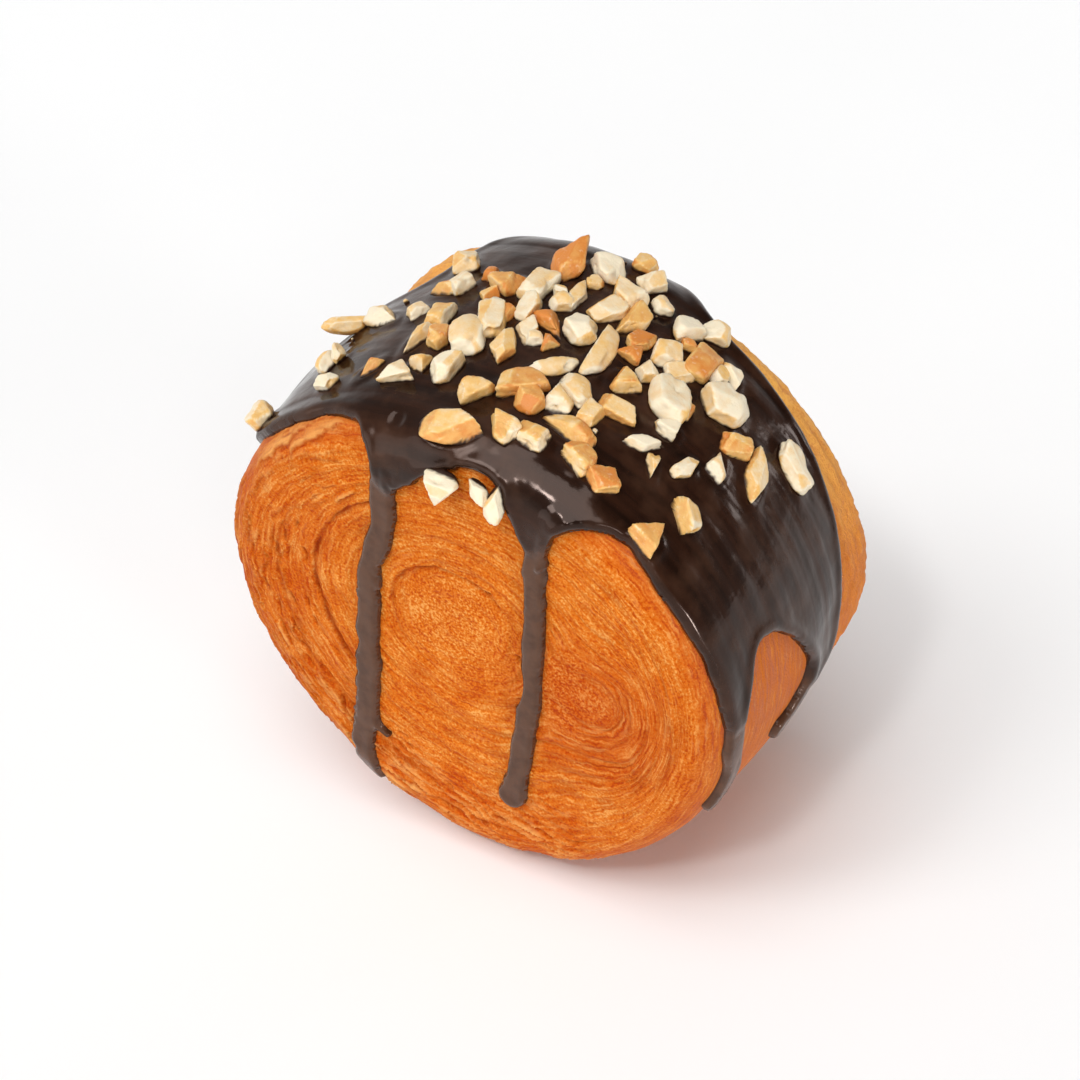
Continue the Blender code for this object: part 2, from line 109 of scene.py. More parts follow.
# Ledges of torn crust at the upper left of the face, as paths of turn and reach, with their height
LEDGES = (
    (((-62, -29.9), (-57.5, -29.6), (-51.5, -29.6), (-46.5, -29.3), (-42, -27.7), (-38, -27)), 0.75),
    (((-50, -34), (-46, -30.6), (-43, -30.8), (-37.5, -29.9), (-34.5, -28.7), (-29, -27.3)), 0.7),
    (((-70, -31.4), (-66, -31.9), (-60, -31.6), (-56, -32.4), (-52, -32.6)), 0.5),
)
LEDGE_BACK = 2.4
# Small flakes: how many, and the spans of their turn, reach, length, width, height and slant
FLAKES = 170
FLAKE_SPANS = ((-165, -34), (-42, -25), (2, 7), (0.8, 2), (0.15, 0.65), (-0.2, 0.12))
# Straight overlapping sheets at the bottom of the face: slope of their edges, spacing, height, and the turns
# and reaches where they fade in
SHEET_SLOPE = 0.3
SHEET_SPACING = 1.9
SHEET_HEIGHT = 0.6
SHEET_TURNS = (138, 158)
SHEET_SPAN = (-46, -24)
# Where the back rim stands out beyond the coat: middle turn, half its span, height
BACK_FLARES = ((-44, 10, 1.8), (92, 16, 1.0))
# The part of the front face with the boldest ridges, round the second eye: x and z of its middle, radius
LOBE = (27, -3, 17)
# Fine ridges along the layers: height, size across the layers and along them, seed
FRONT_FIBRES = ((0.12, 1.3, 10, 1.0), (0.07, 0.8, 6, 5.0), (0.28, 3.2, 22, 60.0))
LOBE_FIBRES = ((0.4, 1.1, 9, 25.0),)
BACK_FIBRES = ((0.22, 1.4, 6, 9.0), (0.25, 3.2, 18, 61.0))
# Thin grooves along the layers: spacing across them, length along them, depth
THREADS = ((2.2, 18.0, 0.28), (1.2, 10.0, 0.14))
THREAD_SHARE = 0.13

# Spans of reach or turn, and the widths of their blends, for the two halves' forms and the crust's colours
HALVES_BLEND = (-6, 6)
BAND_SPAN = (-27, 28)
BAND_BLEND = 5
BACK_RIM_SPAN = (15, 38)
BACK_RIM_BLEND = 7
FLARE_FADE = (11, 22)
UPPER_FADE = (42, 100)
# Noise as height, size and seed: for the steps of torn crust, the back rim's edge and the coat's swell
JAG = ((0.45, 1.2, 3.0), (0.5, 2.8, 6.0))
BACK_RIM_EDGE = ((4.5, 9.0, 70.0), (1.5, 2.5, 71.0))
COAT_SWELL = ((0.22, 9.0, 4.0), (0.08, 3.6, 9.0))

# Fineness of the roll's mesh, which is made in a front and a back part
RING_STEP = 0.28
RIM_STEP = 0.45
BAND_STEP = 0.75
BACK_RIM_STEP = 1.3 * RIM_STEP
BACK_RING_STEP = 1.9 * RING_STEP
BACK_RIM_WIDTH = 14
COLUMN_STEP = 0.2
MOST_COLUMNS = 896
FRONT_END = -24.0

# The coat's edge as turn and reach, once round it
COAT_EDGE = (
    (-57, -24.8), (-46, -26.7), (-35, -26.4), (-28, -27), (-24, -30), (-19.5, -39), (-12, -37.2),
    (-4, -33.2), (4, -30.6), (12, -32.2), (18, -37), (23.5, -39.5), (28, -34), (32, -29.8), (40, -27.2),
    (51, -28.6), (66, -27.8), (77, -27), (85, -26), (85, -22), (77, -18.2), (73.5, -14.5), (77, -8.5),
    (84, -3.2), (91, 0.5), (98, 3.5), (95, 9), (84, 12), (70, 16.1), (56, 19.7), (44, 22.1), (32, 23.8),
    (22, 25.6), (10, 32), (-2, 35.5), (-14, 33.5), (-26, 29), (-32, 24), (-34, 19), (-35, 14), (-39, 9.5),
    (-48, 8), (-60, 6), (-60, 0), (-58, -6), (-66, -12), (-66, -19.5),
)
COAT_THICKNESS = 1.4
DRIP_THICKNESS = 1.15
COAT_BEAD = 0.3
COAT_LIP_WIDTH = 1.15
COAT_EDGE_LIFT = 0.25
COAT_SKIRT = -0.8
COAT_FILLET = 1.3
COAT_STEP = 0.4
COAT_SPAN = ((-160, 172), (-64, 41))
COAT_JAG = 0.5
NUT_COLLAR = 0.25
# Lumps and bubbles on the coat: turn, reach, radius, height
LUMPS = ((26.5, -31.2, 2.3, 0.55), (29.5, -30.4, 1.2, 0.4), (31, -42.9, 0.9, 0.5), (-16, -26.5, 1.5, -0.45))

# Drips: width, extra width at the end, points as x and z on the front face, or turn and reach on the band
FACE_DRIPS = (
    (4.7, -1.5, ((-14, 41), (-14.5, 33), (-15, 24), (-18.3, 13), (-19.3, 2), (-20, -10), (-21, -22),
                 (-22.4, -32), (-21.4, -37.5), (-19.8, -41.4))),
    (4.4, 2.2, ((17, 38), (15.8, 29), (15.6, 19), (15, 8), (13.8, -5), (12.1, -18), (10.5, -27),
                (9.4, -32.6))),
    (1.5, -0.6, ((-20.5, -24.5), (-18.4, -26.6), (-16.4, -27.9))),
)
BAND_DRIPS = (
    (4.3, 0.3, ((68, -22), (76, -22.8), (84, -23.6), (93, -23.8), (103, -22.6), (114, -23.8))),
    (4.4, 0.3, ((82, 5), (90, 5), (97, 3), (103, -2), (106, -8))),
)
DRIP_END = 5.0
PATH_SAMPLES = 40

# Nuts: turn, reach, length, width, heading from the rim's direction towards the back, rise of the end that
# leads, shape, roast from cream at 0 to roasted at 1
NUTS = (
    (-36.5, -1.5, 8, 4.5, 165, 0, "behind", 0.05), (-45, -3, 8.8, 3.8, 218, 34, "pebble", 0.4),
    (-43, -13, 5.5, 3.5, 90, 10, "pebble", 0.1), (-37.5, -20, 4, 3.5, 169, 0, "block", 0.1),
    (-29, -17, 6, 3, 69, 0, "behind", 0.7), (-21, -18, 6.5, 4.5, 8, 0, "peak", 0.05),
    (-18, -15, 5.5, 4, 121, 0, "behind", 0.25), (-12, -15, 7, 5.5, 64, 0, "ahead", 0.1),
    (-23, -9, 8, 3.5, 83, 0, "behind", 0.15), (-22, -3, 6.5, 5, 102, 0, "block", 0.25),
    (-13, -7, 9.5, 6.5, 121, 0, "pebble", 0), (-26, 6, 7.5, 3.5, 11, 0, "behind", 0.5),
    (-28, 14.5, 6.5, 5, 121, 0, "block", 0.35), (-14, 9, 6.5, 6, 57, 0, "ahead", 0.55),
    (-9, 10, 8, 5.5, 91, 0, "block", 0.1), (-7.5, 19, 11.5, 6, 92, 15, "leaf", 1),
    (-1, 21, 8, 5.5, 156, 0, "ahead", 0.1), (-1, 11, 8, 3.2, 102, 0, "leaf", 0.1),
    (6, 17, 9, 5.5, 150, 0, "ahead", 0.35), (6, 11, 8, 5, 69, 0, "pebble", 0.35),
    (-11, -2, 8.5, 5, 115, 0, "block", 0.15), (-5, -7, 8, 4.4, 107, 0, "leaf", 0.45),
    (-7, 4, 7, 4, 102, 0, "pebble", 0.1), (-1, 2, 8, 4.2, 141, 0, "behind", 1),
    (5, 3, 6, 6, 8, 0, "pebble", 0.1), (11, 1, 12.5, 4.8, 104, 0, "left", 0.05),
    (11, 11, 9, 5, 83, 0, "behind", 0.6), (6, -7, 9, 3.2, 43, 0, "left", 0.05),
    (-4, -18, 6.2, 4.5, 54, 0, "right", 0.5), (3, -13, 9, 5, 39, 0, "right", 0.55),
    (7, -16, 5, 5.5, 34, 0, "pebble", 0.85), (11, -12, 8, 5, 114, 0, "ahead", 0.05),
    (13, -9, 8, 5, 155, 0, "pebble", 0.1), (21, -8, 7, 5, 19, 0, "block", 0.4),
    (20, 17, 6, 5, 53, 0, "right", 0.1), (25, 21, 6, 5, 56, 0, "pebble", 0.1),
    (21, 9, 6, 6, 24, 0, "block", 0.15), (27, 12, 9.5, 5.8, 86, 0, "block", 0.55),
    (33, 15, 6, 4, 128, 0, "behind", 0.1), (18, -2, 5.5, 5.5, 46, 0, "peak", 0.5),
    (27, 0, 10, 7, 121, 0, "pebble", 0.15), (36, 8, 9, 8, 55, 0, "pebble", 0.1),
    (8, 23, 5.4, 5, 49, 0, "block", 0.15), (-3, -26, 11.5, 6.4, 15, 0, "ahead", 0.45),
    (6, -23, 7, 4.8, 152, 0, "ahead", 0.3), (12, -22, 6.2, 5, 177, 0, "block", 0.3),
    (17, -17, 9.5, 5.2, 175, 0, "left", 0.55), (22, -21, 6, 5.3, 165, 0, "left", 0.55),
    (28, -22, 5, 5, 46, 0, "block", 0.65), (42, -3, 7.2, 4, 106, 0, "ahead", 0.05),
    (42, 3, 6, 4.8, 36, 0, "block", 0.7), (49, 2, 11, 4.6, 119, 0, "leaf", 0.35),
    (54, 11, 9.5, 5.4, 162, 0, "pebble", 0.15), (44, -16, 6.3, 4.8, 144, 0, "left", 0.25),
    (42, -25, 6, 5.6, 50, 0, "dip", 0.4), (-1.3, -35, 6.5, 6, 0, 0, "dip", 0),
    (12.7, -33.3, 7, 3.6, 96, 0, "ahead", 0), (4, 26.5, 4.8, 4.4, 95, 20, "pebble", 0.6),
    (-57, -21.5, 6, 5, 142, 15, "pebble", 0.25), (-18, -9, 4, 5, 12, 0, "pebble", 0.6),
    (-20, 11, 3, 4, 9, 0, "block", 1.2), (-16, 5, 6, 4, 94, 0, "leaf", 0.6),
    (-2, 8, 5, 4, 65, 0, "pebble", 0.05), (-4, -1, 8, 3.9, 111, 0, "leaf", 0.25),
    (18, -12, 6, 3.6, 88, 0, "block", 0.45), (20, 3, 5.5, 4, 120, 0, "ahead", 0.1),
    (31, -5, 5, 4, 51, 0, "dip", 0.1), (15, 8, 6, 4, 70, 0, "pebble", 0.65), (16, 4, 5, 4, 46, 0, "dip", 0.7),
    (13, 19, 4, 4.5, 51, 0, "pebble", 0), (25, 7, 6, 4, 52, 0, "block", 0.3),
    (29, -11, 6.7, 3, 31, 0, "leaf", 0.1), (33, -13, 6.4, 2.4, 115, 0, "behind", 0.2),
    (38, -9, 6.3, 3, 77, 0, "pebble", 0.2), (8.3, -33, 5.2, 2.6, 141, 0, "leaf", 0),
    (-40, -11.5, 3.8, 2.4, 90, 50, "leaf", 0.25), (-23.5, 6.8, 4.5, 4, 60, 0, "block", 0.25),
    (-1.3, -2.8, 3.2, 3, 30, 0, "block", 0), (1.5, -2.4, 3.6, 3, 60, 0, "peak", 0.7),
    (-0.5, 16, 3.4, 3, 60, 0, "pebble", 0.5), (-4.5, 10.4, 3.8, 2.6, 160, 0, "leaf", 0.05),
    (-9.8, 1.2, 4, 3.5, 100, 0, "pebble", 0.6), (22.8, 14.2, 4, 2.6, 20, 0, "block", 0.6),
    (31, 12.8, 4.6, 3.5, 80, 0, "pebble", 0.1), (31, 0.7, 3.6, 2.6, 100, 0, "block", 0.6),
    (-28.5, -1.2, 4, 3.8, 60, 0, "block", 0.05),
)
# Side cuts of each nut shape: direction in degrees from the nut's leading end, and distance from its middle
NUT_SHAPES = {
    "pebble": ((20, 0.82), (95, 0.78), (170, 0.85), (245, 0.8), (310, 0.86)),
    "block": ((5, 0.66), (88, 0.7), (182, 0.7), (275, 0.66)),
    "leaf": ((48, 0.62), (132, 0.66), (228, 0.62), (312, 0.66)),
    "ahead": ((42, 0.42), (318, 0.42), (180, 0.6), (110, 0.85)),
    "behind": ((138, 0.42), (222, 0.42), (0, 0.6), (290, 0.85)),
    "left": ((90, 0.12), (200, 0.86), (335, 0.9)),
    "right": ((270, 0.12), (20, 0.88), (150, 0.86)),
    "peak": ((270, 0.5), (33, 0.5), (147, 0.5)),
    "dip": ((90, 0.5), (213, 0.5), (327, 0.5)),
}
# Hollows in some nuts, by turn and reach of the nut: direction along it, across it and up, radius, depth
NUT_HOLLOWS = {
    (27, 0): (0.45, -0.4, 0.8, 0.34, 0.4), (36, 8): (0.85, 0.6, 0.25, 0.42, 0.5),
    (3, -13): (0.15, -0.9, 0.3, 0.6, 0.2), (-1.3, -35): (0.05, 1.0, 0.2, 0.4, 0.4),
    (54, 11): (-0.25, -0.9, 0.3, 0.35, 0.22), (-9, 10): (0.3, -0.8, 0.5, 0.35, 0.3),
}
NUT_SINK = 1.05
NUT_RAISE = 0.38
NUT_BASE_HEIGHT = 1.3
NUT_PLUMPNESS = 0.38
NUT_SWELL = 1.06
NUT_FINENESS = 13
NUT_CRISPNESS = 30
NUT_UNDER = 0.3
CUT_TONES = (-0.12, -0.06, 0, 0.06, 0.25, 0.38)
COAT_LEVEL = 1.7
CRUMBS = 9
CRUMB_FINENESS = 4
CRUMB_LIFT = 0.3

# The photo's camera
AZIMUTH = 29
ELEVATION = 40
DISTANCE = 600
LENS = 109.6
CLIP_START = 0.05
AIM_RIGHT = -0.95
AIM_UP = 3.34

# Lights: name, direction they shine from, degrees across, strength
LIGHTS = (
    ("key", (-0.37, -0.53, 0.76), 18, 0.19),
    ("low", (-0.6, -0.75, 0.2), 40, 0.12),
    ("overhead", (0, -0.3, 0.95), 44, 0.45),
    ("rim", (0.02, -0.62, 0.78), 7, 0.15),
    ("front", (0.52, -0.62, 0.54), 10, 0.05),
    ("right", (0.93, -0.35, 0.12), 10, 0.25),
    ("back", (0.575, 0.8, 0.21), 10, 0.03),
)
# How the world fades with height and towards its dark side: first and last value, the strengths there
SKY_FADE = (0.15, 0.48, 1.0, 0.32)
DARK_SIDE = (0.7, 0.45, 0.55)
SIDE_FADE = (0.6, 0.85, 1.0, 0.25)

# The fine bumps of each material: depth, strength
CRUST_BUMP = (0.32, 0.9)
CHOCOLATE_BUMP = (0.3, 0.4)
NUT_BUMP = (0.14, 0.6)

# Colours as 8-bit sRGB
CRUST_SHADES = (
    (0.36, (178, 68, 0)), (0.43, (197, 91, 4)), (0.5, (207, 109, 24)), (0.57, (214, 126, 44)),
    (0.64, (226, 154, 78)),
)
CRUST_REDDENED = (236, 209, 200)
# Painted shade laid into the crust's seams, slits, grooves and the feet of its steps
CRUST_CREASE_SHADE = (140, 40, 0)
# Painted highlight for the crust's ridges and raised parts
CRUST_PAINTED_HIGHLIGHT = (232, 168, 94)
BAND = (190, 112, 76)
BACK_TAN = (236, 173, 86)
BACK_RIM = (216, 125, 44)
CHOCOLATE_DARK = (26, 12, 6)
CHOCOLATE = (44, 23, 13)
# Lighter dull chocolate, also the painted sheen on the drips
CHOCOLATE_DULL_AND_SHEEN = (82, 54, 38)
CHOCOLATE_SHEEN = (255, 228, 216)
NUT_CREAM = (234, 220, 192)
NUT_GOLDEN = (228, 182, 108)
NUT_ROASTED = (210, 130, 56)
FLOOR = (248, 248, 248)
FLOOR_RADIUS = 4000
FLOOR_CORNERS = 96


def section():
    """Half the roll's section as y and radius, from the middle of the front face to that of the back one."""
    half = THICKNESS / 2
    turn = np.linspace(0, math.pi / 2, 25)
    share = np.linspace(0, 1, 61)[1:-1]
    front = np.stack((FRONT_ROUND * (1 - np.cos(turn)) - half, RADIUS - FRONT_ROUND * (1 - np.sin(turn))), 1)
    back_y = half - BACK_ROUND * (1 - np.sin(turn))
    back = np.stack((back_y, BACK_RADIUS - BACK_ROUND * (1 - np.cos(turn))), 1)
    y = front[-1, 0] + (back[0, 0] - front[-1, 0]) * share
    band = np.stack((y, RADIUS + (BACK_RADIUS - RADIUS) * share + BULGE * 4 * share * (1 - share)), 1)
    return np.concatenate((((-half, 0),), front, band, back, ((half, 0),)))


SECTION = section()
REACH = np.concatenate(((0,), np.cumsum(np.linalg.norm(np.diff(SECTION, axis=0), axis=1))))
REACH -= np.interp(0, SECTION[:, 0], REACH)
FRONT_FLAT = REACH[1]
BACK_FLAT = REACH[-2]
SLOPES = np.gradient(SECTION, REACH, axis=0)


def wave(turn, waves):
    return sum(share * np.cos(lobes * np.radians(turn - crest)) for lobes, share, crest in waves)


def skin(turn, reach, lift=0.0):
    """Points of the roll's smooth skin, moved outwards by lift, with x, y and z last."""
    turn, reach, lift = np.broadcast_arrays(np.asarray(turn, float), reach, lift)
    y = np.interp(reach, REACH, SECTION[:, 0]) - lift * np.interp(reach, REACH, SLOPES[:, 1])
    radius = np.interp(reach, REACH, SECTION[:, 1]) + lift * np.interp(reach, REACH, SLOPES[:, 0])
    share = np.clip(y / THICKNESS + 0.5, 0, 1)
    radius = radius * (1 + wave(turn, FRONT_WAVES) * (1 - share) + wave(turn, BACK_WAVES) * share)
    x = radius * np.sin(np.radians(turn))
    z = radius * np.cos(np.radians(turn))
    y = y + (FRONT_LEAN[0] * x + FRONT_LEAN[1] * z) * (1 - share)
    return np.stack((x + BACK_SHIFT * share, y, z + CENTRE_HEIGHT), -1)


def front_place(x, z):
    """Turn and reach of a point of the front face, given from the wheel's centre."""
    turn = math.degrees(math.atan2(x, z))
    radius = math.hypot(x, z) / (1 + wave(turn, FRONT_WAVES))
    rising = REACH < 0
    return turn, float(np.interp(radius, SECTION[rising, 1], REACH[rising]))


def frame_at(turn, reach, lift=0.0):
    """The skin's place with the directions round the wheel, along the section and outwards, as a matrix."""
    here = Vector(skin(turn, reach, lift))
    around = (Vector(skin(turn + 0.5, reach, lift)) - here).normalized()
    along = Vector(skin(turn, reach + 0.2, lift)) - here
    outwards = around.cross(along).normalized()
    along = outwards.cross(around)
    matrix = Matrix((around, along, outwards)).transposed().to_4x4()
    matrix.translation = here
    return matrix


def smooth_step(low, high, value):
    share = np.clip((value - low) / (high - low), 0, 1)
    return share * share * (3 - 2 * share)


def between(low, high, value, blend):
    """1 from low to high, fading to 0 over the blend on both sides."""
    return smooth_step(low - blend, low + blend, value) * (1 - smooth_step(high - blend, high + blend, value))


def hump(away, width, power=2):
    """1 where away is 0, fading to 0 beyond the width."""
    return np.exp(-((away / width) ** power))


def smooth_path(points, samples, closed):
    """Points of a smooth curve through the given ones, so many for each stretch."""
    count = len(points)
    curve = []
    for i in range(count if closed else count - 1):
        around = [(i + k) % count if closed else min(max(i + k, 0), count - 1) for k in (-1, 0, 1, 2)]
        a, b, c, d = (Vector(points[k]) for k in around)
        for step in range(samples):
            t = step / samples
            bend = b * 2 + (c - a) * t + (a * 2 - b * 5 + c * 4 - d) * t**2 + (b * 3 - a - c * 3 + d) * t**3
            curve.append(bend / 2)
    if not closed:
        curve.append(Vector(points[-1]))
    return curve


def noise_at(points, size, seed=0.0):
    """Smooth noise from -1 to 1 at each point, with features about size across."""
    return np.array([noise.noise(point) for point in np.asarray(points) / size + seed])


def noises_at(points, rows):
    """Sum of smooth noises, each with its height, size and seed."""
    return sum(height * noise_at(points, size, seed) for height, size, seed in rows)


def make_mesh(name, points, faces, attributes):
    """A smooth object from points in millimetres, with one float for each point and attribute."""
    mesh = bpy.data.meshes.new(name)
    mesh.from_pydata((points * MM).tolist(), [], faces)
    mesh.update()
    for key, values in attributes.items():
        layer = mesh.attributes.new(key, "FLOAT", "POINT")
        layer.data.foreach_set("value", np.asarray(values, np.float32))
    mesh.shade_smooth()
    obj = bpy.data.objects.new(name, mesh)
    bpy.context.scene.collection.objects.link(obj)
    return obj


def crag(points):
    """Depth of the crust's unevenness at each point, never outwards."""
    return CRAG * (0.5 + 0.5 * noise_at(points, CRAG_SIZE))


def spiral_place(x, z, flat_radius):
    """Distance from the spiral's eye and the sweep round it, as shares of a turn, at points of a face."""
    distance = np.hypot(x - EYE[0], z - EYE[1])
    for _ in range(4):
        drift = 1 - np.clip(distance / flat_radius, 0, 1) ** 4
        distance = np.hypot(x - EYE[0] * drift, z - EYE[1] * drift)
    sweep = (-np.arctan2(x - EYE[0] * drift, z - EYE[1] * drift) / (2 * math.pi)) % 1
    return distance, sweep


def flat_place(turn, radius):
    """x and z of a turn and a distance from the middle of an unrolled face."""
    return radius * np.sin(np.radians(turn)), radius * np.cos(np.radians(turn))


def front_radius(reach):
    """Distance from the middle of the unrolled front face."""
    return FRONT_FLAT_RADIUS + reach - FRONT_FLAT


def layer_field(x, z):
    """Distance across the layers of the front, which close round two eyes, at points of the unrolled face."""
    radius = np.hypot(x, z)
    distance, sweep = spiral_place(x, z, FRONT_FLAT_RADIUS)
    second = np.hypot(x - SECOND_EYE[0], z - SECOND_EYE[1]) + SECOND_EYE_START
    both = (distance + second - np.sqrt((distance - second) ** 2 + EYE_BLEND**2)) / 2
    rim = smooth_step(34, 45, radius)
    return both * (1 - rim) + distance * rim, sweep


def seams(layer, sweep, turn):
    """How far each point lies in a seam of the spiral, from 0 to about 1."""
    lap = (layer - FIRST_SEAM) / PITCH - sweep
    away = (lap - np.round(lap)) * PITCH
    strength = np.full(len(layer), FAINT_SEAM)
    # Laps are counted from the top: a seam keeps its number over the sides and changes it at the bottom
    counted = np.round((layer - FIRST_SEAM) / PITCH + turn / 360)
    for number, first, last, most in OPEN_SEAMS:
        span = between(first, last, turn, 12)
        strength = np.where(counted == number, np.maximum(strength, most * span), strength)
    return np.where(away > 0, hump(away, SEAM_WIDTH), hump(away, 2.6 * SEAM_WIDTH)) * strength


def slit_rows():
    """Ends of all slits as turn and reach: the ones seen, then the seeded ones, which follow the layers."""
    rng = random.Random(11)
    rows = [(*slit, 1.0) for slit in SLITS]
    for first, last, inner, outer, count, slant in SLIT_PATCHES:
        spans = ((first, last), (inner, outer), *SLIT_SPANS)
        for _ in range(count):
            turn, reach, length, skew, depth = (rng.uniform(*span) for span in spans)
            rows.append((turn, reach, turn - length, reach + (skew + slant * 0.2) * length, depth))
    return rows


def slits(points):
    """Nearness to the slits on the front face: up to 1 in one, 0 beyond its width, thinning to its ends."""
    near = np.zeros(len(points))
    for turn0, reach0, turn1, reach1, depth in slit_rows():
        start = skin(turn0, reach0)[[0, 2]]
        way = skin(turn1, reach1)[[0, 2]] - start
        share = np.clip((points - start) @ way / (way @ way), 0, 1)
        gap = np.linalg.norm(points - start - share[:, None] * way, axis=1)
        taper = np.sqrt(np.clip(4 * share * (1 - share), 0, 1))
        near = np.maximum(near, depth * hump(gap, SLIT_WIDTH * (0.6 + 0.4 * depth)) * taper)
    return near


def ledges(turn, reach, jag):
    """Height of the torn crust, which ends in ragged steps towards the middle, and nearness to the steps,
    where a shadow is painted at their feet.
    """
    height = np.zeros(len(turn))
    foot_shadow = np.zeros(len(turn))
    for path, lift in LEDGES:
        turns, reaches = np.array(path).T
        across = reach - np.interp(turn, turns, reaches) + jag
        span = between(turns[0] + 2, turns[-1] - 2, turn, 3)
        height = np.maximum(height, np.where(across > 0, lift * np.exp(-across / LEDGE_BACK), 0) * span)
        foot_shadow = np.maximum(foot_shadow, hump(across + 0.15, 0.3) * span)
    return height, foot_shadow


def small_flakes(turn, reach, jag):
    """Height of many small flakes round the left of the front rim, and nearness to their ragged steps, where
    a shadow is painted at their feet.
    """
    rng = random.Random(31)
    height = np.zeros(len(turn))
    foot_shadow = np.zeros(len(turn))
    for _ in range(FLAKES):
        middle, edge, length, width, lift, skew = (rng.uniform(*span) for span in FLAKE_SPANS)
        across = reach - edge - skew * (turn - middle) + jag
        taper = np.sqrt(np.clip(1 - ((turn - middle) / length) ** 2, 0, 1))
        slope = np.where((across > 0) & (across < width), 1 - across / width, 0)
        height = np.maximum(height, lift * slope * taper)
        foot_shadow = np.maximum(foot_shadow, hump(across + 0.12, 0.22) * taper * lift * 1.6)
    return height, foot_shadow


def sheets(turn, points, jag):
    """Height of the overlapping sheets at the bottom of the face, and nearness to the feet of their edges,
    where a shadow is painted.
    """
    slope = math.hypot(SHEET_SLOPE, 1)
    down = -(SHEET_SLOPE * points[:, 0] + points[:, 2] - CENTRE_HEIGHT) / slope
    phase = (down + 0.5 * jag) / SHEET_SPACING + 0.9 * noise_at(points, 9.0, 21.0)
    rise = phase - np.floor(phase)
    patch = 0.35 + 0.65 * smooth_step(-0.3, 0.3, noise_at(points, 6.0, 17.0))
    here = smooth_step(*SHEET_TURNS, np.abs(turn)) * patch
    return SHEET_HEIGHT * rise * here, hump(rise, 0.16) * here


def lobe_share(x, z):
    """1 in the middle of the boldly ridged part of the front face, fading to 0 round it."""
    middle_x, middle_z, radius = LOBE
    return hump(np.hypot(x - middle_x, z - middle_z), radius, 4)


def calm_share(x, z):
    """1 where the front face has grain and no lines: in the second eye and on its side towards the first."""
    away_x, away_z = x - SECOND_EYE[0], z - SECOND_EYE[1]
    away = np.hypot(away_x, away_z)
    beside = smooth_step(-1, 4, -away_x) * (1 - smooth_step(7, 13, away))
    return np.maximum(1 - smooth_step(2, 7, away), beside)


def band_noise(turn, reach, across, along, seed):
    """Noise in features that lie round the wheel, so wide, and so many degrees long."""
    return noise_at(np.stack((reach / across, turn / along, 0 * turn), 1), 1.0, seed)


def line_noise(points, layer, across, along, seed):
    """Noise in features that lie along the layers, so long and so wide across them."""
    return noise_at(np.stack((layer / across, points[:, 0] / along, points[:, 2] / along), 1), 1.0, seed)


def fibres(points, layer, rows):
    """Height of fine ridges that run along the layers."""
    return sum(height * line_noise(points, layer, *size_and_seed) for height, *size_and_seed in rows)


def threads(points, layer):
    """Depth of many thin grooves that run along the layers and fade in and out."""
    depth = np.zeros(len(points))
    for number, (across, along, most) in enumerate(THREADS):
        line = hump(line_noise(points, layer, across, along, 40.0 + number), THREAD_SHARE)
        patch = smooth_step(-0.35, 0.3, noise_at(points, 5.0, 50.0 + number))
        depth = np.maximum(depth, most * line * patch)
    return depth


def wobbled(distance, points, size, seed):
    """Distance across the layers with their waves, of the given size, and their crinkles."""
    return distance + SEAM_WOBBLE * noise_at(points, size, seed) + CRINKLE * noise_at(points, 1.7, 28.0)


def front_relief(turn, reach, points):
    """Lift of the front half's surface from the smooth skin, its layer field, and nearness to its creases,
    where the crust's colour gets painted shade.
    """
    x, z = flat_place(turn, front_radius(reach))
    distance, sweep = layer_field(x, z)
    layer = wobbled(distance, points, 6.0, 8.0)
    face = 1 - smooth_step(*FRONT_FADE, reach)
    lobe = lobe_share(x, z)
    lined = 1 - calm_share(x, z)
    plain = between(*PLAIN_TURNS, turn, 14) * smooth_step(-36, -31, reach)
    torn = 0.6 + 0.5 * smooth_step(-0.4, 0.3, noise_at(points, 4.5, 12.0))
    seam = seams(layer, sweep, turn) * face * smooth_step(2, 9, layer) * torn
    ridges = 0.16 * band_noise(turn, reach, 1.1, 7, 2.0) * (1 - face)
    bold = (0.5 + 0.5 * lobe) * (1 - 0.8 * plain) * lined
    thread = threads(points, layer) * smooth_step(*EYE_FADE, layer) * bold
    jag = noises_at(points, JAG)
    ledge, ledge_shadow = ledges(turn, reach, jag)
    flake, flake_shadow = small_flakes(turn, reach, jag)
    sheet, sheet_shadow = sheets(turn, points, jag)
    slit = slits(points[:, [0, 2]]) * face
    rim = between(*SHEET_SPAN, reach, 3)
    fine = fibres(points, layer, FRONT_FIBRES) + lobe * lined * fibres(points, layer, LOBE_FIBRES)
    lift = fine * (0.2 + 0.8 * face) * (1 - 0.6 * plain) + ridges * (1 - 0.7 * plain) - 0.15 - thread
    lift += np.maximum(ledge, flake) + sheet * rim - SEAM_DEPTH * seam - SLIT_DEPTH * slit
    # Painted shadow under the steps of the ledges, flakes and sheets
    feet = (0.8 * ledge_shadow, 0.7 * flake_shadow, 0.75 * sheet_shadow * rim)
    # Painted shade: nearness to seams, slits and grooves darkens the crust's colour
    crease = np.max((0.8 * seam, slit, 2.6 * thread, *feet), axis=0)
    return lift, layer, crease


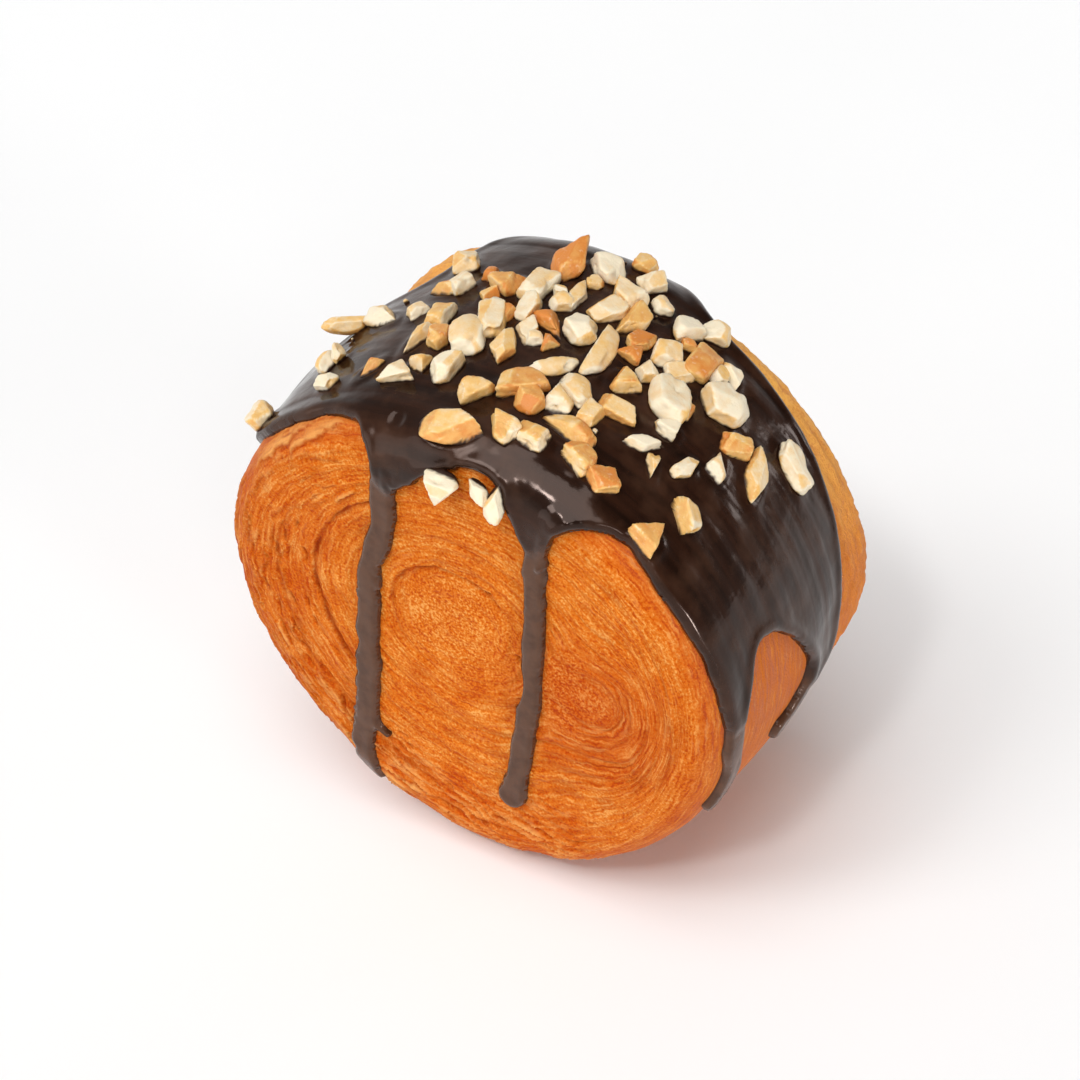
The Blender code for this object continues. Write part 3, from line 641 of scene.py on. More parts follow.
def back_relief(turn, reach, points):
    """Lift of the back half's surface from the smooth skin, its layer field, and nearness to its creases,
    where the crust's colour gets painted shade.
    """
    radius = np.clip(BACK_FLAT_RADIUS - (reach - BACK_FLAT), 0, None)
    distance, sweep = spiral_place(*flat_place(turn, radius), BACK_FLAT_RADIUS)
    layer = wobbled(distance, points, 3.2, 15.0)
    face = smooth_step(*BACK_FADE, reach)
    torn = 0.6 + 0.5 * noise_at(points, 5.0, 2.0)
    seam = seams(layer, sweep, turn) * face * smooth_step(2, 9, layer) * torn
    ridges = 0.2 * band_noise(turn, reach, 1.4, 9, 4.0) * (1 - face)
    rim = between(12, 34, reach, 4)
    bumps = (0.45 * np.maximum(noise_at(points, 2.3, 7.0), 0) + 0.15 * noise_at(points, 0.9, 3.0)) * rim
    thread = threads(points, layer) * np.maximum(face, 0.6 * rim)
    lift = fibres(points, layer, BACK_FIBRES) * face + ridges + bumps - 0.1 - 1.5 * SEAM_DEPTH * seam - thread
    return lift, layer, np.clip(1.2 * seam + 2.2 * thread, 0, 1)


def flares(turn, reach):
    """How much the back rim stands out where it shows beyond the coat."""
    height = np.zeros(len(turn))
    for middle, half, most in BACK_FLARES:
        height += most * hump(turn - middle, half, 4)
    return height * smooth_step(*FLARE_FADE, reach) * (1 - 0.8 * smooth_step(*BACK_FADE, reach))


def ring_faces(inner, outer):
    """Faces between two rings, each a first index and a count, where the count may double or halve."""
    (start, count), (other, others) = inner, outer
    faces = []
    for i in range(min(count, others)):
        j = (i + 1) % min(count, others)
        if count == others:
            faces.append((start + i, start + j, other + j, other + i))
        elif count < others:
            low, middle, high = (other + (2 * i + k) % others for k in (0, 1, 2))
            faces += [(start + i, middle, low), (start + i, start + j, middle), (start + j, high, middle)]
        else:
            low, middle, high = (start + (2 * i + k) % count for k in (0, 1, 2))
            faces += [(low, middle, other + i), (middle, other + j, other + i), (middle, high, other + j)]
    return faces


def columns_at(radius):
    columns = MOST_COLUMNS
    while columns > 10 and 2 * math.pi * radius / columns < COLUMN_STEP:
        columns //= 2
    return columns


def front_rings():
    """Reach and number of columns of the rings of the front part, from the middle of the face to the rim."""
    rings = []
    for radius in np.arange(RING_STEP, FRONT_FLAT_RADIUS, RING_STEP):
        rings.append((FRONT_FLAT - (FRONT_FLAT_RADIUS - radius), columns_at(radius)))
    for reach in np.arange(FRONT_FLAT, FRONT_END, RIM_STEP):
        rings.append((reach, MOST_COLUMNS))
    rings.append((FRONT_END, MOST_COLUMNS))
    return rings


def back_rings():
    """Reach and number of columns of the rings of the band and the back part, from the front rim inwards."""
    rings = [(FRONT_END, MOST_COLUMNS)]
    rim_start = BACK_FLAT - BACK_RIM_WIDTH
    for reach in np.arange(FRONT_END + RIM_STEP, rim_start, BAND_STEP):
        rings.append((reach, MOST_COLUMNS // 2))
    for reach in np.arange(rim_start, BACK_FLAT, BACK_RIM_STEP):
        rings.append((reach, MOST_COLUMNS))
    for radius in np.arange(BACK_FLAT_RADIUS, RING_STEP, -BACK_RING_STEP):
        rings.append((BACK_FLAT + BACK_FLAT_RADIUS - radius, columns_at(0.7 * radius)))
    return rings


def redness(turn, reach):
    """How much redder the crust is than the middle of the front face: on the lobe, the rim and the left."""
    lobe = lobe_share(*flat_place(turn, front_radius(reach)))
    rim = smooth_step(-34, -29, reach)
    left = between(-150, -50, turn, 20) * smooth_step(-52, -44, reach)
    bottom = smooth_step(120, 160, np.abs(turn)) * smooth_step(-50, -42, reach)
    return np.clip(np.max((0.95 * lobe, 0.8 * rim, 0.45 * left, 0.6 * bottom), axis=0) * (reach < 10), 0, 1)


def roll_faces(rings, tip):
    """Faces of a part of the roll, with a fan to its last point from the ring of index tip, 0 or -1."""
    counts = [columns for _, columns in rings]
    starts = np.cumsum([0] + counts).tolist()
    spans = list(zip(starts, counts))
    faces = []
    for inner, outer in zip(spans, spans[1:]):
        faces += ring_faces(inner, outer)
    start, columns = spans[tip]
    fan = [(start + i, start + (i + 1) % columns, starts[-1]) for i in range(columns)]
    return faces + (fan if tip else [face[::-1] for face in fan])


def roll_part(name, rings, tip):
    """A part of the roll from its rings, the one of index tip, 0 or -1, closing in a face's middle."""
    turns = [np.arange(columns) * 360 / columns for _, columns in rings]
    reaches = [np.full(columns, reach) for reach, columns in rings]
    turn = (np.concatenate((*turns, np.zeros(1))) + 180) % 360 - 180
    reach = np.concatenate((*reaches, REACH[[tip]]))
    base = skin(turn, reach)
    halves = zip(front_relief(turn, reach, base), back_relief(turn, reach, base))
    share = smooth_step(*HALVES_BLEND, reach)
    lift, layer, crease = (front * (1 - share) + back * share for front, back in halves)
    points = skin(turn, reach, lift + flares(turn, reach) - crag(base) * CRAG_SHARE)
    points[:, 2] = np.maximum(points[:, 2], 0)
    edge = reach + noises_at(base, BACK_RIM_EDGE)
    attributes = {
        "layer": layer,
        "relief": lift,
        "crease": crease,
        "calm": calm_share(*flat_place(turn, front_radius(reach))),
        "band": between(*BAND_SPAN, reach, BAND_BLEND),
        "back_rim": between(*BACK_RIM_SPAN, edge, BACK_RIM_BLEND),
        "upper": 1 - smooth_step(*UPPER_FADE, np.abs(turn)),
        "red": redness(turn, reach),
    }
    return make_mesh(name, points, roll_faces(rings, tip), attributes)


def inside_loop(turn, reach, loop):
    """Which places lie inside a closed path of places."""
    inside = np.zeros(turn.shape, bool)
    for (t0, r0), (t1, r1) in zip(loop, loop[1:] + loop[:1]):
        crosses = (r0 > reach) != (r1 > reach)
        if r0 != r1:
            inside ^= crosses & (turn < t0 + (t1 - t0) * (reach - r0) / (r1 - r0))
    return inside


def nearest(points, samples):
    """For each point, the index of the nearest sample and the distance to it."""
    tree = KDTree(len(samples))
    for index, sample in enumerate(samples):
        tree.insert(sample, index)
    tree.balance()
    found = [tree.find(point)[1:] for point in points]
    return np.array([index for index, _ in found]), np.array([gap for _, gap in found])


def drip_paths():
    """Places along the middle of every drip, with its width and the extra width at its end."""
    for width, extra, points in FACE_DRIPS:
        yield [front_place(*point) for point in smooth_path(points, PATH_SAMPLES, False)], width, extra
    for width, extra, points in BAND_DRIPS:
        yield [tuple(place) for place in smooth_path(points, PATH_SAMPLES, False)], width, extra


def drip_depth(points, path, width, extra, seed):
    """Distance in from a drip's edge, with an uneven width and a round end, fuller or slimmer than that."""
    samples = skin(*np.array(path).T)
    walked = np.concatenate(((0,), np.cumsum(np.linalg.norm(np.diff(samples, axis=0), axis=1))))
    left = walked[-1] - walked
    half = width / 2 * (1 + 0.10 * noise_at(np.stack((walked, 0 * walked, 0 * walked), 1), 5.0, seed))
    half += extra / 2 * hump(left, DRIP_END)
    kept = left > half[-1] * 0.9
    index, gap = nearest(points, samples[kept])
    return half[kept][index] - gap


def smooth_most(a, b, blend):
    return (a + b + np.sqrt((a - b) ** 2 + blend * blend)) / 2


def coat_depth(turn, reach):
    """Distance in from the edge of the coat and its drips, below 0 outside, and how much of it is drip."""
    loop = [tuple(place) for place in smooth_path(COAT_EDGE, PATH_SAMPLES, True)]
    points = skin(turn, reach)
    _, gap = nearest(points, skin(*np.array(loop).T))
    sheet = np.where(inside_loop(turn, reach, loop), gap, -gap)
    depth = sheet
    for number, (path, width, extra) in enumerate(drip_paths()):
        depth = smooth_most(depth, drip_depth(points, path, width, extra, 3.0 + 7 * number), COAT_FILLET)
    face = 1 - smooth_step(-32, -26, reach)
    rough = smooth_step(-0.2, 0.35, noise_at(points, 7.0, 33.0)) * (0.2 + 0.8 * face)
    jag = COAT_JAG * rough * noise_at(points, 1.6, 1.0) + 0.35 * noise_at(points, 4.2, 5.0)
    return depth + jag - 0.05, smooth_step(0, 3, -sheet)


def nut_place(turn, reach, length, heading, rise):
    """Where a nut's base lies: its middle goes up as its leading end rises, and its other end stays put."""
    rise = math.radians(rise)
    turned = frame_at(turn, reach, NUT_SINK) @ Matrix.Rotation(math.radians(heading), 4, "Z")
    raised = Matrix.Translation((0, 0, NUT_RAISE * length * math.sin(rise)))
    return turned @ raised @ Matrix.Rotation(-rise, 4, "Y")


def collars(turn, reach):
    """Height of the little rims of chocolate that creep up round the nuts, and of the lumps on the coat."""
    height = np.zeros(len(turn))
    points = skin(turn, reach)
    for nut_turn, nut_reach, length, width, heading, *_ in NUTS:
        place = nut_place(nut_turn, nut_reach, length, heading, 0)
        local = (points - np.array(place.translation)) @ np.array(place.to_3x3())
        ellipse = np.hypot(local[:, 0] / (0.5 * length), local[:, 1] / (0.5 * width))
        beyond = (ellipse - 0.95) * 0.5 * width
        here = hump(beyond, 0.8) * (np.abs(local[:, 2]) < 4)
        height = np.maximum(height, NUT_COLLAR * here)
    for lump_turn, lump_reach, radius, rise in LUMPS:
        gap = np.linalg.norm(points - skin(lump_turn, lump_reach), axis=1)
        height += rise * hump(gap, radius, 4)
    return height


def coat_thickness(depth, drip, turn, reach):
    """Lift of the coat's surface from the smooth skin."""
    points = skin(turn, reach)
    rise = np.sqrt(np.clip(1 - (1 - np.clip(depth / COAT_LIP_WIDTH, 0, 1)) ** 2, 0, 1))
    bead = COAT_BEAD * hump(depth - 1.5, 1.1) * (1 - drip)
    flowing = smooth_step(12, 45, np.abs(turn)) * smooth_step(0.8, 4, depth) * (1 - drip)
    streaks = 0.15 * band_noise(turn, reach, 3.2, 24, 2.0) + 0.05 * band_noise(turn, reach, 1.4, 24, 5.0)
    streaks *= flowing
    swell = noises_at(points, COAT_SWELL) * smooth_step(0.5, 3, depth)
    top = COAT_THICKNESS + (DRIP_THICKNESS - COAT_THICKNESS) * drip + bead + streaks + swell
    return COAT_EDGE_LIFT + (top - COAT_EDGE_LIFT) * rise + collars(turn, reach) * smooth_step(0, 1.2, depth)


def snap_to_edge(turn, reach, depth, turn_step):
    """The grid's places and depths, with the places nearly on the coat's edge moved onto it."""
    spread = np.linalg.norm(np.gradient(skin(turn, reach), axis=0), axis=-1)
    slope_turn = np.gradient(depth, axis=0) / spread
    slope_reach = np.gradient(depth, axis=1) / COAT_STEP
    steep = np.maximum(slope_turn**2 + slope_reach**2, 0.3)
    on_edge = np.abs(depth) < 0.55 * COAT_STEP
    turn = np.where(on_edge, turn - depth * slope_turn / steep / spread * turn_step, turn)
    reach = np.where(on_edge, reach - depth * slope_reach / steep, reach)
    return turn, reach, np.where(on_edge, 0, depth)


def kept_faces(kept):
    """Faces of the grid's cells that keep three corners or four, by the numbers of the kept places."""
    index = np.full(kept.shape, -1)
    index[kept] = np.arange(kept.sum())
    corners = np.stack((index[:-1, :-1], index[1:, :-1], index[1:, 1:], index[:-1, 1:]), -1).reshape(-1, 4)
    present = (corners >= 0).sum(1)
    faces = corners[present == 4].tolist() + corners[present == 3].tolist()
    return [tuple(corner for corner in face if corner >= 0) for face in faces]


def chocolate_coat():
    """The coat and its drips as one flowing surface with a rounded edge that meets the crust."""
    (first, last), (front, back) = COAT_SPAN
    turn_step = math.degrees(COAT_STEP / RADIUS)
    turns = np.arange(first, last, turn_step)
    turn, reach = np.meshgrid(turns, np.arange(front, back, COAT_STEP), indexing="ij")
    depth, drip = (values.reshape(turn.shape) for values in coat_depth(turn.ravel(), reach.ravel()))
    turn, reach, depth = snap_to_edge(turn, reach, depth, turn_step)
    kept = depth >= 0
    turn, reach, depth, drip = turn[kept], reach[kept], depth[kept], drip[kept]
    points = skin(turn, reach, coat_thickness(depth, drip, turn, reach))
    points, faces = add_skirt(points, skin(turn, reach, COAT_SKIRT), kept_faces(kept))
    extra = np.zeros(len(points) - len(turn))
    attributes = {"flow": reach, "turn": turn, "drip": drip}
    attributes = {key: np.concatenate((values, extra)) for key, values in attributes.items()}
    return make_mesh("chocolate_coat_surface", points, faces, attributes)


def add_skirt(points, lower, faces):
    """Joins the open edge of a surface to the points below it."""
    edges = {}
    for face in faces:
        for a, b in zip(face, face[1:] + face[:1]):
            if (b, a) in edges:
                del edges[(b, a)]
            else:
                edges[(a, b)] = True
    below = {}
    extra = []
    for a, _ in edges:
        below[a] = len(points) + len(extra)
        extra.append(lower[a])
    walls = [(b, a, below[a], below[b]) for a, b in edges if a in below and b in below]
    return np.concatenate((points, np.array(extra))), faces + walls


def ball(steps):
    """Directions spread over a ball, as a cube's grid of points pushed outwards, with its faces."""
    index = {}
    faces = []
    for axis in range(3):
        for side in (0, steps):
            for i in range(steps):
                for j in range(steps):
                    face = []
                    for a, b in ((i, j), (i + 1, j), (i + 1, j + 1), (i, j + 1)):
                        corner = [a, b]
                        corner.insert(axis, side)
                        face.append(index.setdefault(tuple(corner), len(index)))
                    faces.append(face[::-1] if (side == 0) != (axis == 1) else face)
    grid = np.tan((np.array(list(index)) * 2 / steps - 1) * math.pi / 4)
    return grid / np.linalg.norm(grid, axis=1, keepdims=True), np.array(faces)


def direction(angle, lean):
    """The direction of an angle in degrees round z, which leans up so many degrees."""
    angle, lean = math.radians(angle), math.radians(lean)
    return math.cos(angle) * math.cos(lean), math.sin(angle) * math.cos(lean), math.sin(lean)


def nut_cuts(shape, roast, rng):
    """Flat cuts of a nut as outward direction, distance from its middle and tone: its sides, then its top."""
    rows = []
    for angle, gap in NUT_SHAPES[shape]:
        rows.append((angle + rng.uniform(-14, 14), rng.uniform(-6, 28), gap * rng.uniform(0.88, 1.08)))
    ridge = rng.uniform(-35, 35)
    top = rng.random()
    if top < 0.4:
        rows.append((ridge + 90, 90 - rng.uniform(6, 30), rng.uniform(0.5, 0.62)))
        rows.append((ridge - 90, 90 - rng.uniform(10, 38), rng.uniform(0.5, 0.66)))
    elif top < 0.75:
        rows.append((rng.uniform(0, 360), 90 - rng.uniform(4, 26), rng.uniform(0.45, 0.62)))
    if top < 0.6 or top > 0.9:
        end = rng.choice((0, 180)) + rng.uniform(-40, 40)
        rows.append((end, 90 - rng.uniform(34, 58), rng.uniform(0.6, 0.78)))
    return [(direction(angle, lean), gap, roast + rng.choice(CUT_TONES)) for angle, lean, gap in rows]


def dented(directions, towards, size, depth):
    """Share of the radius that is left where a ball has a hollow."""
    towards = np.array(towards) / np.linalg.norm(towards)
    return 1 - depth * hump(np.arccos(np.clip(directions @ towards, -1, 1)), size)


def cut_ball(directions, cuts, roast):
    """Distance of a ball's surface from its middle when it has flat cuts, and the tones there."""
    pulls = [np.ones(len(directions))]
    for normal, gap, _ in cuts:
        pulls.append((np.maximum(directions @ np.array(normal), 0) / gap) ** NUT_CRISPNESS)
    pulls = np.array(pulls)
    total = pulls.sum(0)
    tones = np.array([roast + 0.35, *(tone for _, _, tone in cuts)]) @ (pulls / total)
    tones -= 0.3 * smooth_step(0.08, 0.5, 1 - pulls.max(0) / total)
    return total ** (-1 / NUT_CRISPNESS), tones


def nut_shape(directions, row, rng):
    """Points of one nut in its own axes and their tones: a ball with its sides and top cut off unevenly."""
    turn, reach, length, width, _, _, shape, roast = row
    radius, tones = cut_ball(directions, nut_cuts(shape, roast, rng), roast)
    seed = rng.uniform(0, 90)
    radius *= 1 + noises_at(directions, ((0.08, 0.7, seed), (0.045, 0.25, seed + 7)))
    for _ in range(2):
        angle = rng.uniform(0, 2 * math.pi)
        towards = (math.cos(angle), math.sin(angle), rng.uniform(-0.2, 0.6))
        radius *= dented(directions, towards, rng.uniform(0.22, 0.42), rng.choice((0, 0.12, 0.2, 0.28)))
    if (turn, reach) in NUT_HOLLOWS:
        *towards, size, depth = NUT_HOLLOWS[turn, reach]
        radius *= dented(directions, towards, size, depth)
    points = directions * radius[:, None]
    low, high = points.min(0), points.max(0)
    height = min(NUT_BASE_HEIGHT + NUT_PLUMPNESS * width, 0.8 * width + 0.3) * rng.uniform(0.85, 1.1)
    share = (points - low) / (high - low)
    sized = np.stack(((share[:, 0] - 0.5) * length, (share[:, 1] - 0.5) * width, share[:, 2]), 1) * NUT_SWELL
    sized[:, 2] = (share[:, 2] * (1 + NUT_UNDER) - NUT_UNDER) * height
    return sized, tones


def crumb_rows():
    """Tiny crumbs of nut spread among the nuts."""
    rng = random.Random(5)
    inner = [row for row in NUTS if row[1] > -20]
    for _ in range(CRUMBS):
        turn, reach, length, *_ = rng.choice(inner)
        angle = rng.uniform(0, 2 * math.pi)
        away = rng.uniform(0.6, 1.0) * length
        size = rng.uniform(0.5, 1.0)
        place = (turn + away * math.cos(angle), reach + away * math.sin(angle))
        yield (*place, size, size * rng.uniform(0.6, 1), rng.uniform(0, 180), 0, "block", rng.uniform(0, 0.2))


def chopped_nuts():
    """All nuts and crumbs as one mesh, with a tone and the chocolate's creep up their feet at each point."""
    rng = random.Random(23)
    points, faces, tones, wets = [], [], [], []
    start = 0
    nut_ball, crumb_ball = ball(NUT_FINENESS), ball(CRUMB_FINENESS)
    rows = [(row, nut_ball, 0) for row in NUTS] + [(row, crumb_ball, CRUMB_LIFT) for row in crumb_rows()]
    for row, (directions, ball_faces), raised in rows:
        turn, reach, length, _, heading, rise, *_ = row
        local, tone = nut_shape(directions, row, rng)
        place = nut_place(turn, reach, length, heading, rise)
        upright = np.array(frame_at(turn, reach).col[2][:3])
        placed = local @ np.array(place.to_3x3()).T + np.array(place.translation) + raised * upright
        lift = (placed - skin(turn, reach)) @ upright
        points.append(placed)
        tones.append(tone)
        wets.append(1 - smooth_step(COAT_LEVEL, COAT_LEVEL + 0.4, lift + 0.25 * noise_at(placed, 0.8)))
        faces += [tuple(face) for face in (ball_faces + start).tolist()]
        start += len(directions)
    attributes = {"tone": np.concatenate(tones), "wet": np.concatenate(wets)}
    return make_mesh("chopped_nuts", np.concatenate(points), faces, attributes)


def linear(colour):
    """8-bit sRGB as a linear colour with alpha."""
    parts = [part / 255 for part in colour]
    return (*((part / 12.92) if part <= 0.04045 else ((part + 0.055) / 1.055) ** 2.4 for part in parts), 1)


class Nodes:
    """A node tree that is filled one node at a time and wired by name."""

    def __init__(self, tree):
        self.tree = tree

    def plug(self, socket, value):
        if isinstance(value, bpy.types.NodeSocket):
            self.tree.links.new(value, socket)
        else:
            socket.default_value = value

    def add(self, kind, inputs=(), **settings):
        node = self.tree.nodes.new(kind)
        for key, value in settings.items():
            setattr(node, key, value)
        for key, value in dict(inputs).items():
            self.plug(node.inputs[key], value)
        return node

    def math(self, operation, *values):
        return self.add("ShaderNodeMath", dict(enumerate(values)), operation=operation).outputs[0]

    def remap(self, value, low, high, start=0.0, stop=1.0):
        inputs = {"Value": value, "From Min": low, "From Max": high, "To Min": start, "To Max": stop}
        return self.add("ShaderNodeMapRange", inputs).outputs["Result"]


class Shader(Nodes):
    """A material's nodes, which end in its Principled surface."""

    def __init__(self, name):
        self.material = bpy.data.materials.new(name)
        self.material.use_nodes = True
        super().__init__(self.material.node_tree)
        self.surface = self.tree.nodes["Principled BSDF"]

    def attribute(self, name):
        return self.add("ShaderNodeAttribute", attribute_name=name).outputs["Fac"]

    def total(self, *terms):
        """Sum of values, each times its weight."""
        result = 0.0
        for value, weight in terms:
            result = self.math("MULTIPLY_ADD", value, weight, result)
        return result

    def scaled(self, vector, scale):
        inputs = {0: vector, "Scale": scale}
        return self.add("ShaderNodeVectorMath", inputs, operation="SCALE").outputs[0]

    def millimetres(self):
        return self.scaled(self.add("ShaderNodeTexCoord").outputs["Object"], 1 / MM)

    def noise(self, vector, scale, detail=3.0, roughness=0.55):
        inputs = {"Vector": vector, "Scale": scale, "Detail": detail, "Roughness": roughness}
        return self.add("ShaderNodeTexNoise", inputs).outputs["Fac"]

    def ramp(self, value, stops):
        node = self.add("ShaderNodeValToRGB", {"Fac": value})
        ramp = node.color_ramp
        while len(ramp.elements) < len(stops):
            ramp.elements.new(1)
        for element, (position, colour) in zip(ramp.elements, stops):
            element.position = position
            element.color = linear(colour)
        return node.outputs["Color"]

    def mix(self, share, first, second, blend="MIX"):
        inputs = {0: share, 6: first, 7: second}
        return self.add("ShaderNodeMix", inputs, data_type="RGBA", blend_type=blend).outputs[2]

    def along_lines(self, across, across_scale, place, place_scale):
        """A vector that changes fast across the lines and slowly along them."""
        slow = self.add("ShaderNodeSeparateXYZ", {0: self.scaled(place, place_scale)}).outputs
        fast = self.math("MULTIPLY_ADD", across, across_scale, slow[1])
        return self.add("ShaderNodeCombineXYZ", {0: fast, 1: slow[0], 2: slow[2]}).outputs[0]

    def bump(self, height, distance, strength):
        inputs = {"Height": height, "Distance": distance * MM, "Strength": strength}
        self.plug(self.surface.inputs["Normal"], self.add("ShaderNodeBump", inputs).outputs["Normal"])

    def set(self, **inputs):
        for key, value in inputs.items():
            self.plug(self.surface.inputs[key.replace("_", " ")], value)


def crust_material():
    shader = Shader("crust")
    place = shader.millimetres()
    layer = shader.attribute("layer")
    red = shader.attribute("red")
    band = shader.attribute("band")
    wavy = shader.math("MULTIPLY_ADD", shader.noise(place, 0.9, 2.0), 0.9, layer)
    lines = shader.noise(shader.along_lines(wavy, 1.9, place, 0.16), 1.0, 2.0, 0.55)
    thin = shader.noise(shader.along_lines(wavy, 1.4, place, 0.13), 1.0, 2.0, 0.5)
    grain = shader.noise(place, 2.0, 2.0, 0.6)
    patches = shader.noise(place, 0.16, 3.0)
    ridged = shader.math("MULTIPLY_ADD", red, 0.25, shader.remap(layer, *EYE_FADE, 0.12, 0.42))
    ridged = shader.math("MULTIPLY", ridged, shader.math("SUBTRACT", 1.0, shader.attribute("calm")))
    both = shader.add("ShaderNodeMix", {0: ridged, 2: grain, 3: lines}).outputs[0]
    mixed = shader.math("MULTIPLY_ADD", shader.math("SUBTRACT", patches, 0.5), 0.3, both)
    crust = shader.ramp(mixed, CRUST_SHADES)
    crust = shader.mix(red, crust, shader.mix(1.0, crust, linear(CRUST_REDDENED), "MULTIPLY"))
    streaks = shader.remap(lines, 0.35, 0.65)
    band_colour = shader.mix(streaks, linear(BAND), linear(CRUST_SHADES[2][1]))
    colour = shader.mix(shader.math("MULTIPLY", band, 0.75), crust, band_colour)
    rim_colour = shader.mix(shader.attribute("upper"), linear(BACK_RIM), linear(BACK_TAN))
    uneven = shader.remap(mixed, 0.38, 0.54, 0.5, 1.0)
    rim_share = shader.math("MULTIPLY", shader.attribute("back_rim"), uneven)
    colour = shader.mix(rim_share, colour, rim_colour)
    # Painted highlight: thin light lines along the ridges, and the raised parts of the crust, are lightened
    pale_highlight = shader.math("MULTIPLY", shader.remap(thin, 0.58, 0.68, 0, 0.5), ridged)
    raised = shader.math("MAXIMUM", pale_highlight, shader.remap(shader.attribute("relief"), 0.05, 0.5, 0, 0.75))
    colour = shader.mix(raised, colour, linear(CRUST_PAINTED_HIGHLIGHT))
    # Painted shade in the creases darkens the crust
    crease = shader.math("MULTIPLY", shader.attribute("crease"), 0.75)
    # Painted shade in the thin gaps between the ridges
    gap = shader.math("MULTIPLY", shader.remap(thin, 0.4, 0.31, 0, 0.4), ridged)
    colour = shader.mix(shader.math("MAXIMUM", crease, gap), colour, linear(CRUST_CREASE_SHADE))
    shader.set(Base_Color=colour, Roughness=shader.remap(grain, 0.3, 0.7, 0.45, 0.62))
    shader.set(Specular_IOR_Level=0.06)
    shader.bump(shader.total((lines, 0.4), (thin, 0.4), (grain, 0.8)), *CRUST_BUMP)
    return shader.material


def chocolate_material():
    shader = Shader("chocolate")
    place = shader.millimetres()
    flow = shader.attribute("flow")
    turn = shader.math("MULTIPLY", shader.attribute("turn"), 0.045)
    way = shader.add("ShaderNodeCombineXYZ", {0: flow, 1: turn}).outputs[0]
    streaks = shader.noise(way, 0.4, 2.0, 0.5)
    smear = shader.noise(place, 0.14, 3.0)
    cloud = shader.remap(shader.noise(place, 0.3, 3.0), 0.35, 0.65, 0.6, 1.1)
    # Painted sheen: the drips are lightened, and patches by noise turn duller
    drip_sheen = shader.math("MULTIPLY", shader.attribute("drip"), cloud)
    dull_and_sheen = shader.math("MAXIMUM", shader.remap(smear, 0.45, 0.7, 0, 0.35), drip_sheen)
    # Darker and lighter streaks along the flow; the lighter ones are partly a painted sheen
    colour = shader.mix(shader.remap(streaks, 0.35, 0.65), linear(CHOCOLATE_DARK), linear(CHOCOLATE))
    colour = shader.mix(dull_and_sheen, colour, linear(CHOCOLATE_DULL_AND_SHEEN))
    shader.set(Base_Color=colour, Roughness=shader.remap(smear, 0.3, 0.7, 0.08, 0.25))
    shader.set(Specular_IOR_Level=0.34, Specular_Tint=linear(CHOCOLATE_SHEEN))
    shader.bump(shader.total((streaks, 0.6), (smear, 1.5)), *CHOCOLATE_BUMP)
    return shader.material


def nut_material():
    shader = Shader("nut")
    place = shader.millimetres()
    mottle = shader.noise(place, 0.5, 3.0)
    grain = shader.noise(place, 2.4, 2.0)
    streak = shader.noise(place, 1.1, 2.0)
    shade = shader.math("ADD", shader.attribute("tone"), shader.remap(mottle, 0.3, 0.7, -0.15, 0.15))
    colour = shader.ramp(shade, ((0.05, NUT_CREAM), (0.55, NUT_GOLDEN), (1.0, NUT_ROASTED)))
    colour = shader.mix(shader.remap(streak, 0.6, 0.72, 0, 0.3), colour, linear(NUT_CREAM))
    colour = shader.mix(shader.attribute("wet"), colour, linear(CHOCOLATE))
    shader.set(Base_Color=colour, Roughness=0.45, Specular_IOR_Level=0.35)
    shader.set(Subsurface_Weight=0.12, Subsurface_Radius=(1.0, 0.7, 0.4), Subsurface_Scale=0.0012)
    shader.bump(shader.total((grain, 1.0), (mottle, 1.0)), *NUT_BUMP)
    return shader.material


def floor_material():
    shader = Shader("floor")
    place = shader.millimetres()
    faint = shader.remap(shader.noise(place, 0.004, 2.0), 0.3, 0.7, 0.97, 1.0)
    colour = shader.mix(1.0, linear(FLOOR), faint, "MULTIPLY")
    shader.set(Base_Color=colour, Roughness=0.6)
    return shader.material


def studio_floor():
    rim = [(math.cos(a), math.sin(a)) for a in np.linspace(0, 2 * math.pi, FLOOR_CORNERS + 1)[:-1]]
    points = np.array([(FLOOR_RADIUS * x, FLOOR_RADIUS * y, 0) for x, y in rim])
    floor = make_mesh("studio_floor", points, [tuple(range(len(points)))], {})
    floor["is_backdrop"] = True
    return floor


def add_facing(name, data, back):
    """An object for a light or the camera, which looks away from back."""
    obj = bpy.data.objects.new(name, data)
    obj.rotation_mode = "QUATERNION"
    obj.rotation_quaternion = back.normalized().to_track_quat("Z", "Y")
    bpy.context.scene.collection.objects.link(obj)
    return obj


def soft_light(name, way, width, strength):
    """A far soft light of so many degrees across, which shines from a direction."""
    light = bpy.data.lights.new(name, "SUN")
    light.angle = math.radians(width)
    light.energy = strength * math.pi
    add_facing(name, light, Vector(way))


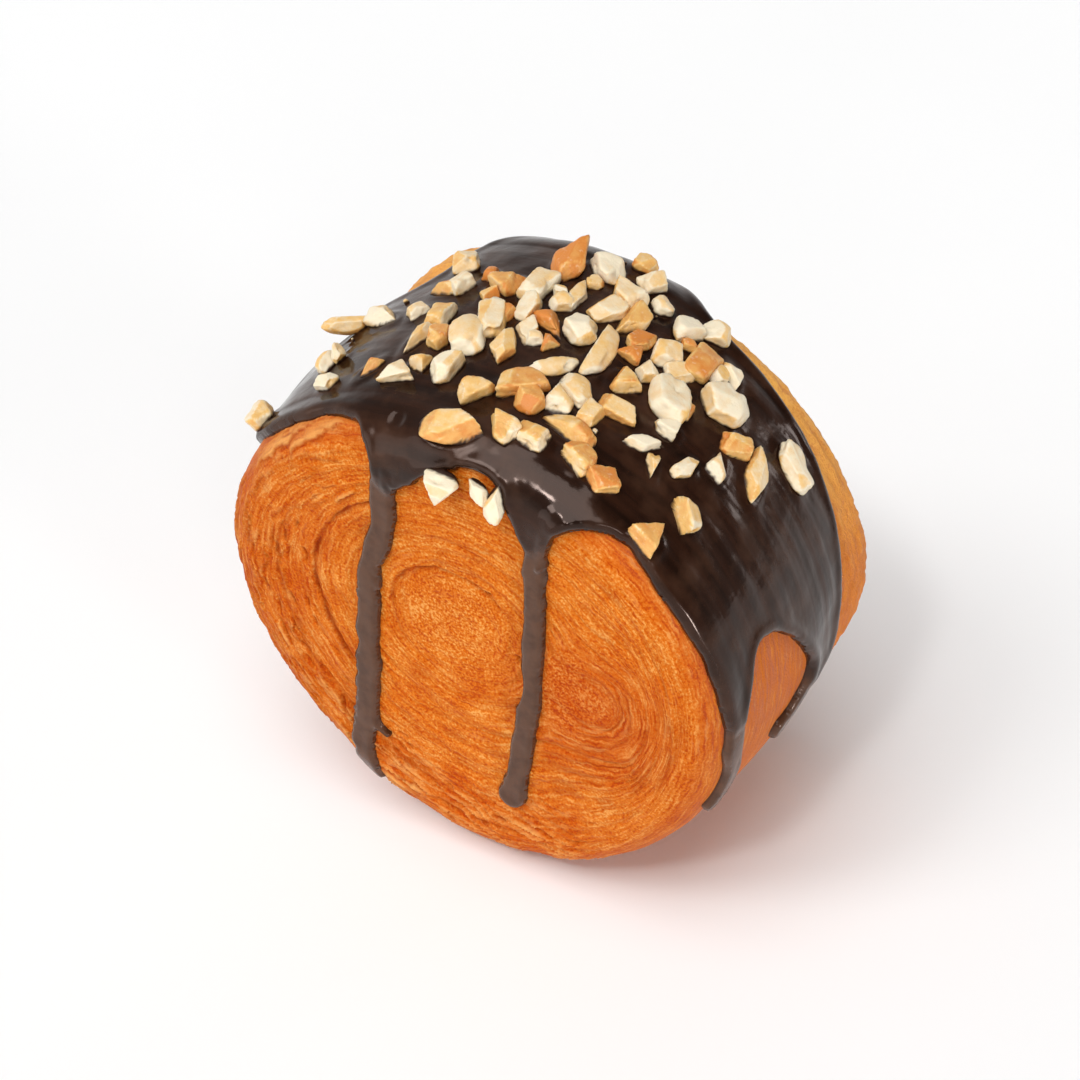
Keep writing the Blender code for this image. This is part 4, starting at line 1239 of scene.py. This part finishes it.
def studio():
    """A world that is bright low down, dim above and dark at the right, with soft lights for highlights."""
    world = bpy.data.worlds.new("studio")
    world.use_nodes = True
    nodes = Nodes(world.node_tree)
    way = nodes.add("ShaderNodeTexCoord").outputs["Generated"]
    height = nodes.add("ShaderNodeSeparateXYZ", {0: way}).outputs["Z"]
    side = nodes.add("ShaderNodeVectorMath", {0: way, 1: DARK_SIDE}, operation="DOT_PRODUCT").outputs["Value"]
    strength = nodes.math("MULTIPLY", nodes.remap(height, *SKY_FADE), nodes.remap(side, *SIDE_FADE))
    background = nodes.tree.nodes["Background"].inputs
    nodes.plug(background["Strength"], strength)
    nodes.plug(background["Color"], (1, 1, 1, 1))
    bpy.context.scene.world = world
    for row in LIGHTS:
        soft_light(*row)
    bpy.context.scene.view_settings.view_transform = "Standard"


def camera():
    data = bpy.data.cameras.new("photo_camera")
    data.lens = LENS
    data.clip_start = CLIP_START
    back = Vector(direction(AZIMUTH - 90, ELEVATION))
    right = Vector(direction(AZIMUTH, 0))
    aim = Vector((0, 0, CENTRE_HEIGHT)) + right * AIM_RIGHT + back.cross(right) * AIM_UP
    obj = add_facing("photo_camera", data, back)
    obj.location = (aim + back * DISTANCE) * MM
    bpy.context.scene.camera = obj


def finish_piece(obj, material, node):
    obj.data.materials.append(material)
    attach(obj, "root")
    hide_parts(node)


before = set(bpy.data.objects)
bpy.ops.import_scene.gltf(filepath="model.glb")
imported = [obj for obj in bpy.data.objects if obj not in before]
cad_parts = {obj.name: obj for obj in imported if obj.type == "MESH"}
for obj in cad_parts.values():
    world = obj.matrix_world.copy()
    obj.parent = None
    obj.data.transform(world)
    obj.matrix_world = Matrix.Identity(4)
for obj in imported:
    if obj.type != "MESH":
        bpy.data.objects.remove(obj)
size_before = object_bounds()
crust = crust_material()
finish_piece(roll_part("pastry_front", front_rings(), 0), crust, "pastry")
finish_piece(roll_part("pastry_band_and_back", back_rings(), -1), crust, "pastry")
finish_piece(chocolate_coat(), chocolate_material(), "chocolate_coat")
finish_piece(chopped_nuts(), nut_material(), "chocolate_coat")
studio_floor().data.materials.append(floor_material())
studio()
camera()
[[list(corner) for corner in box] for box in (size_before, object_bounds())]
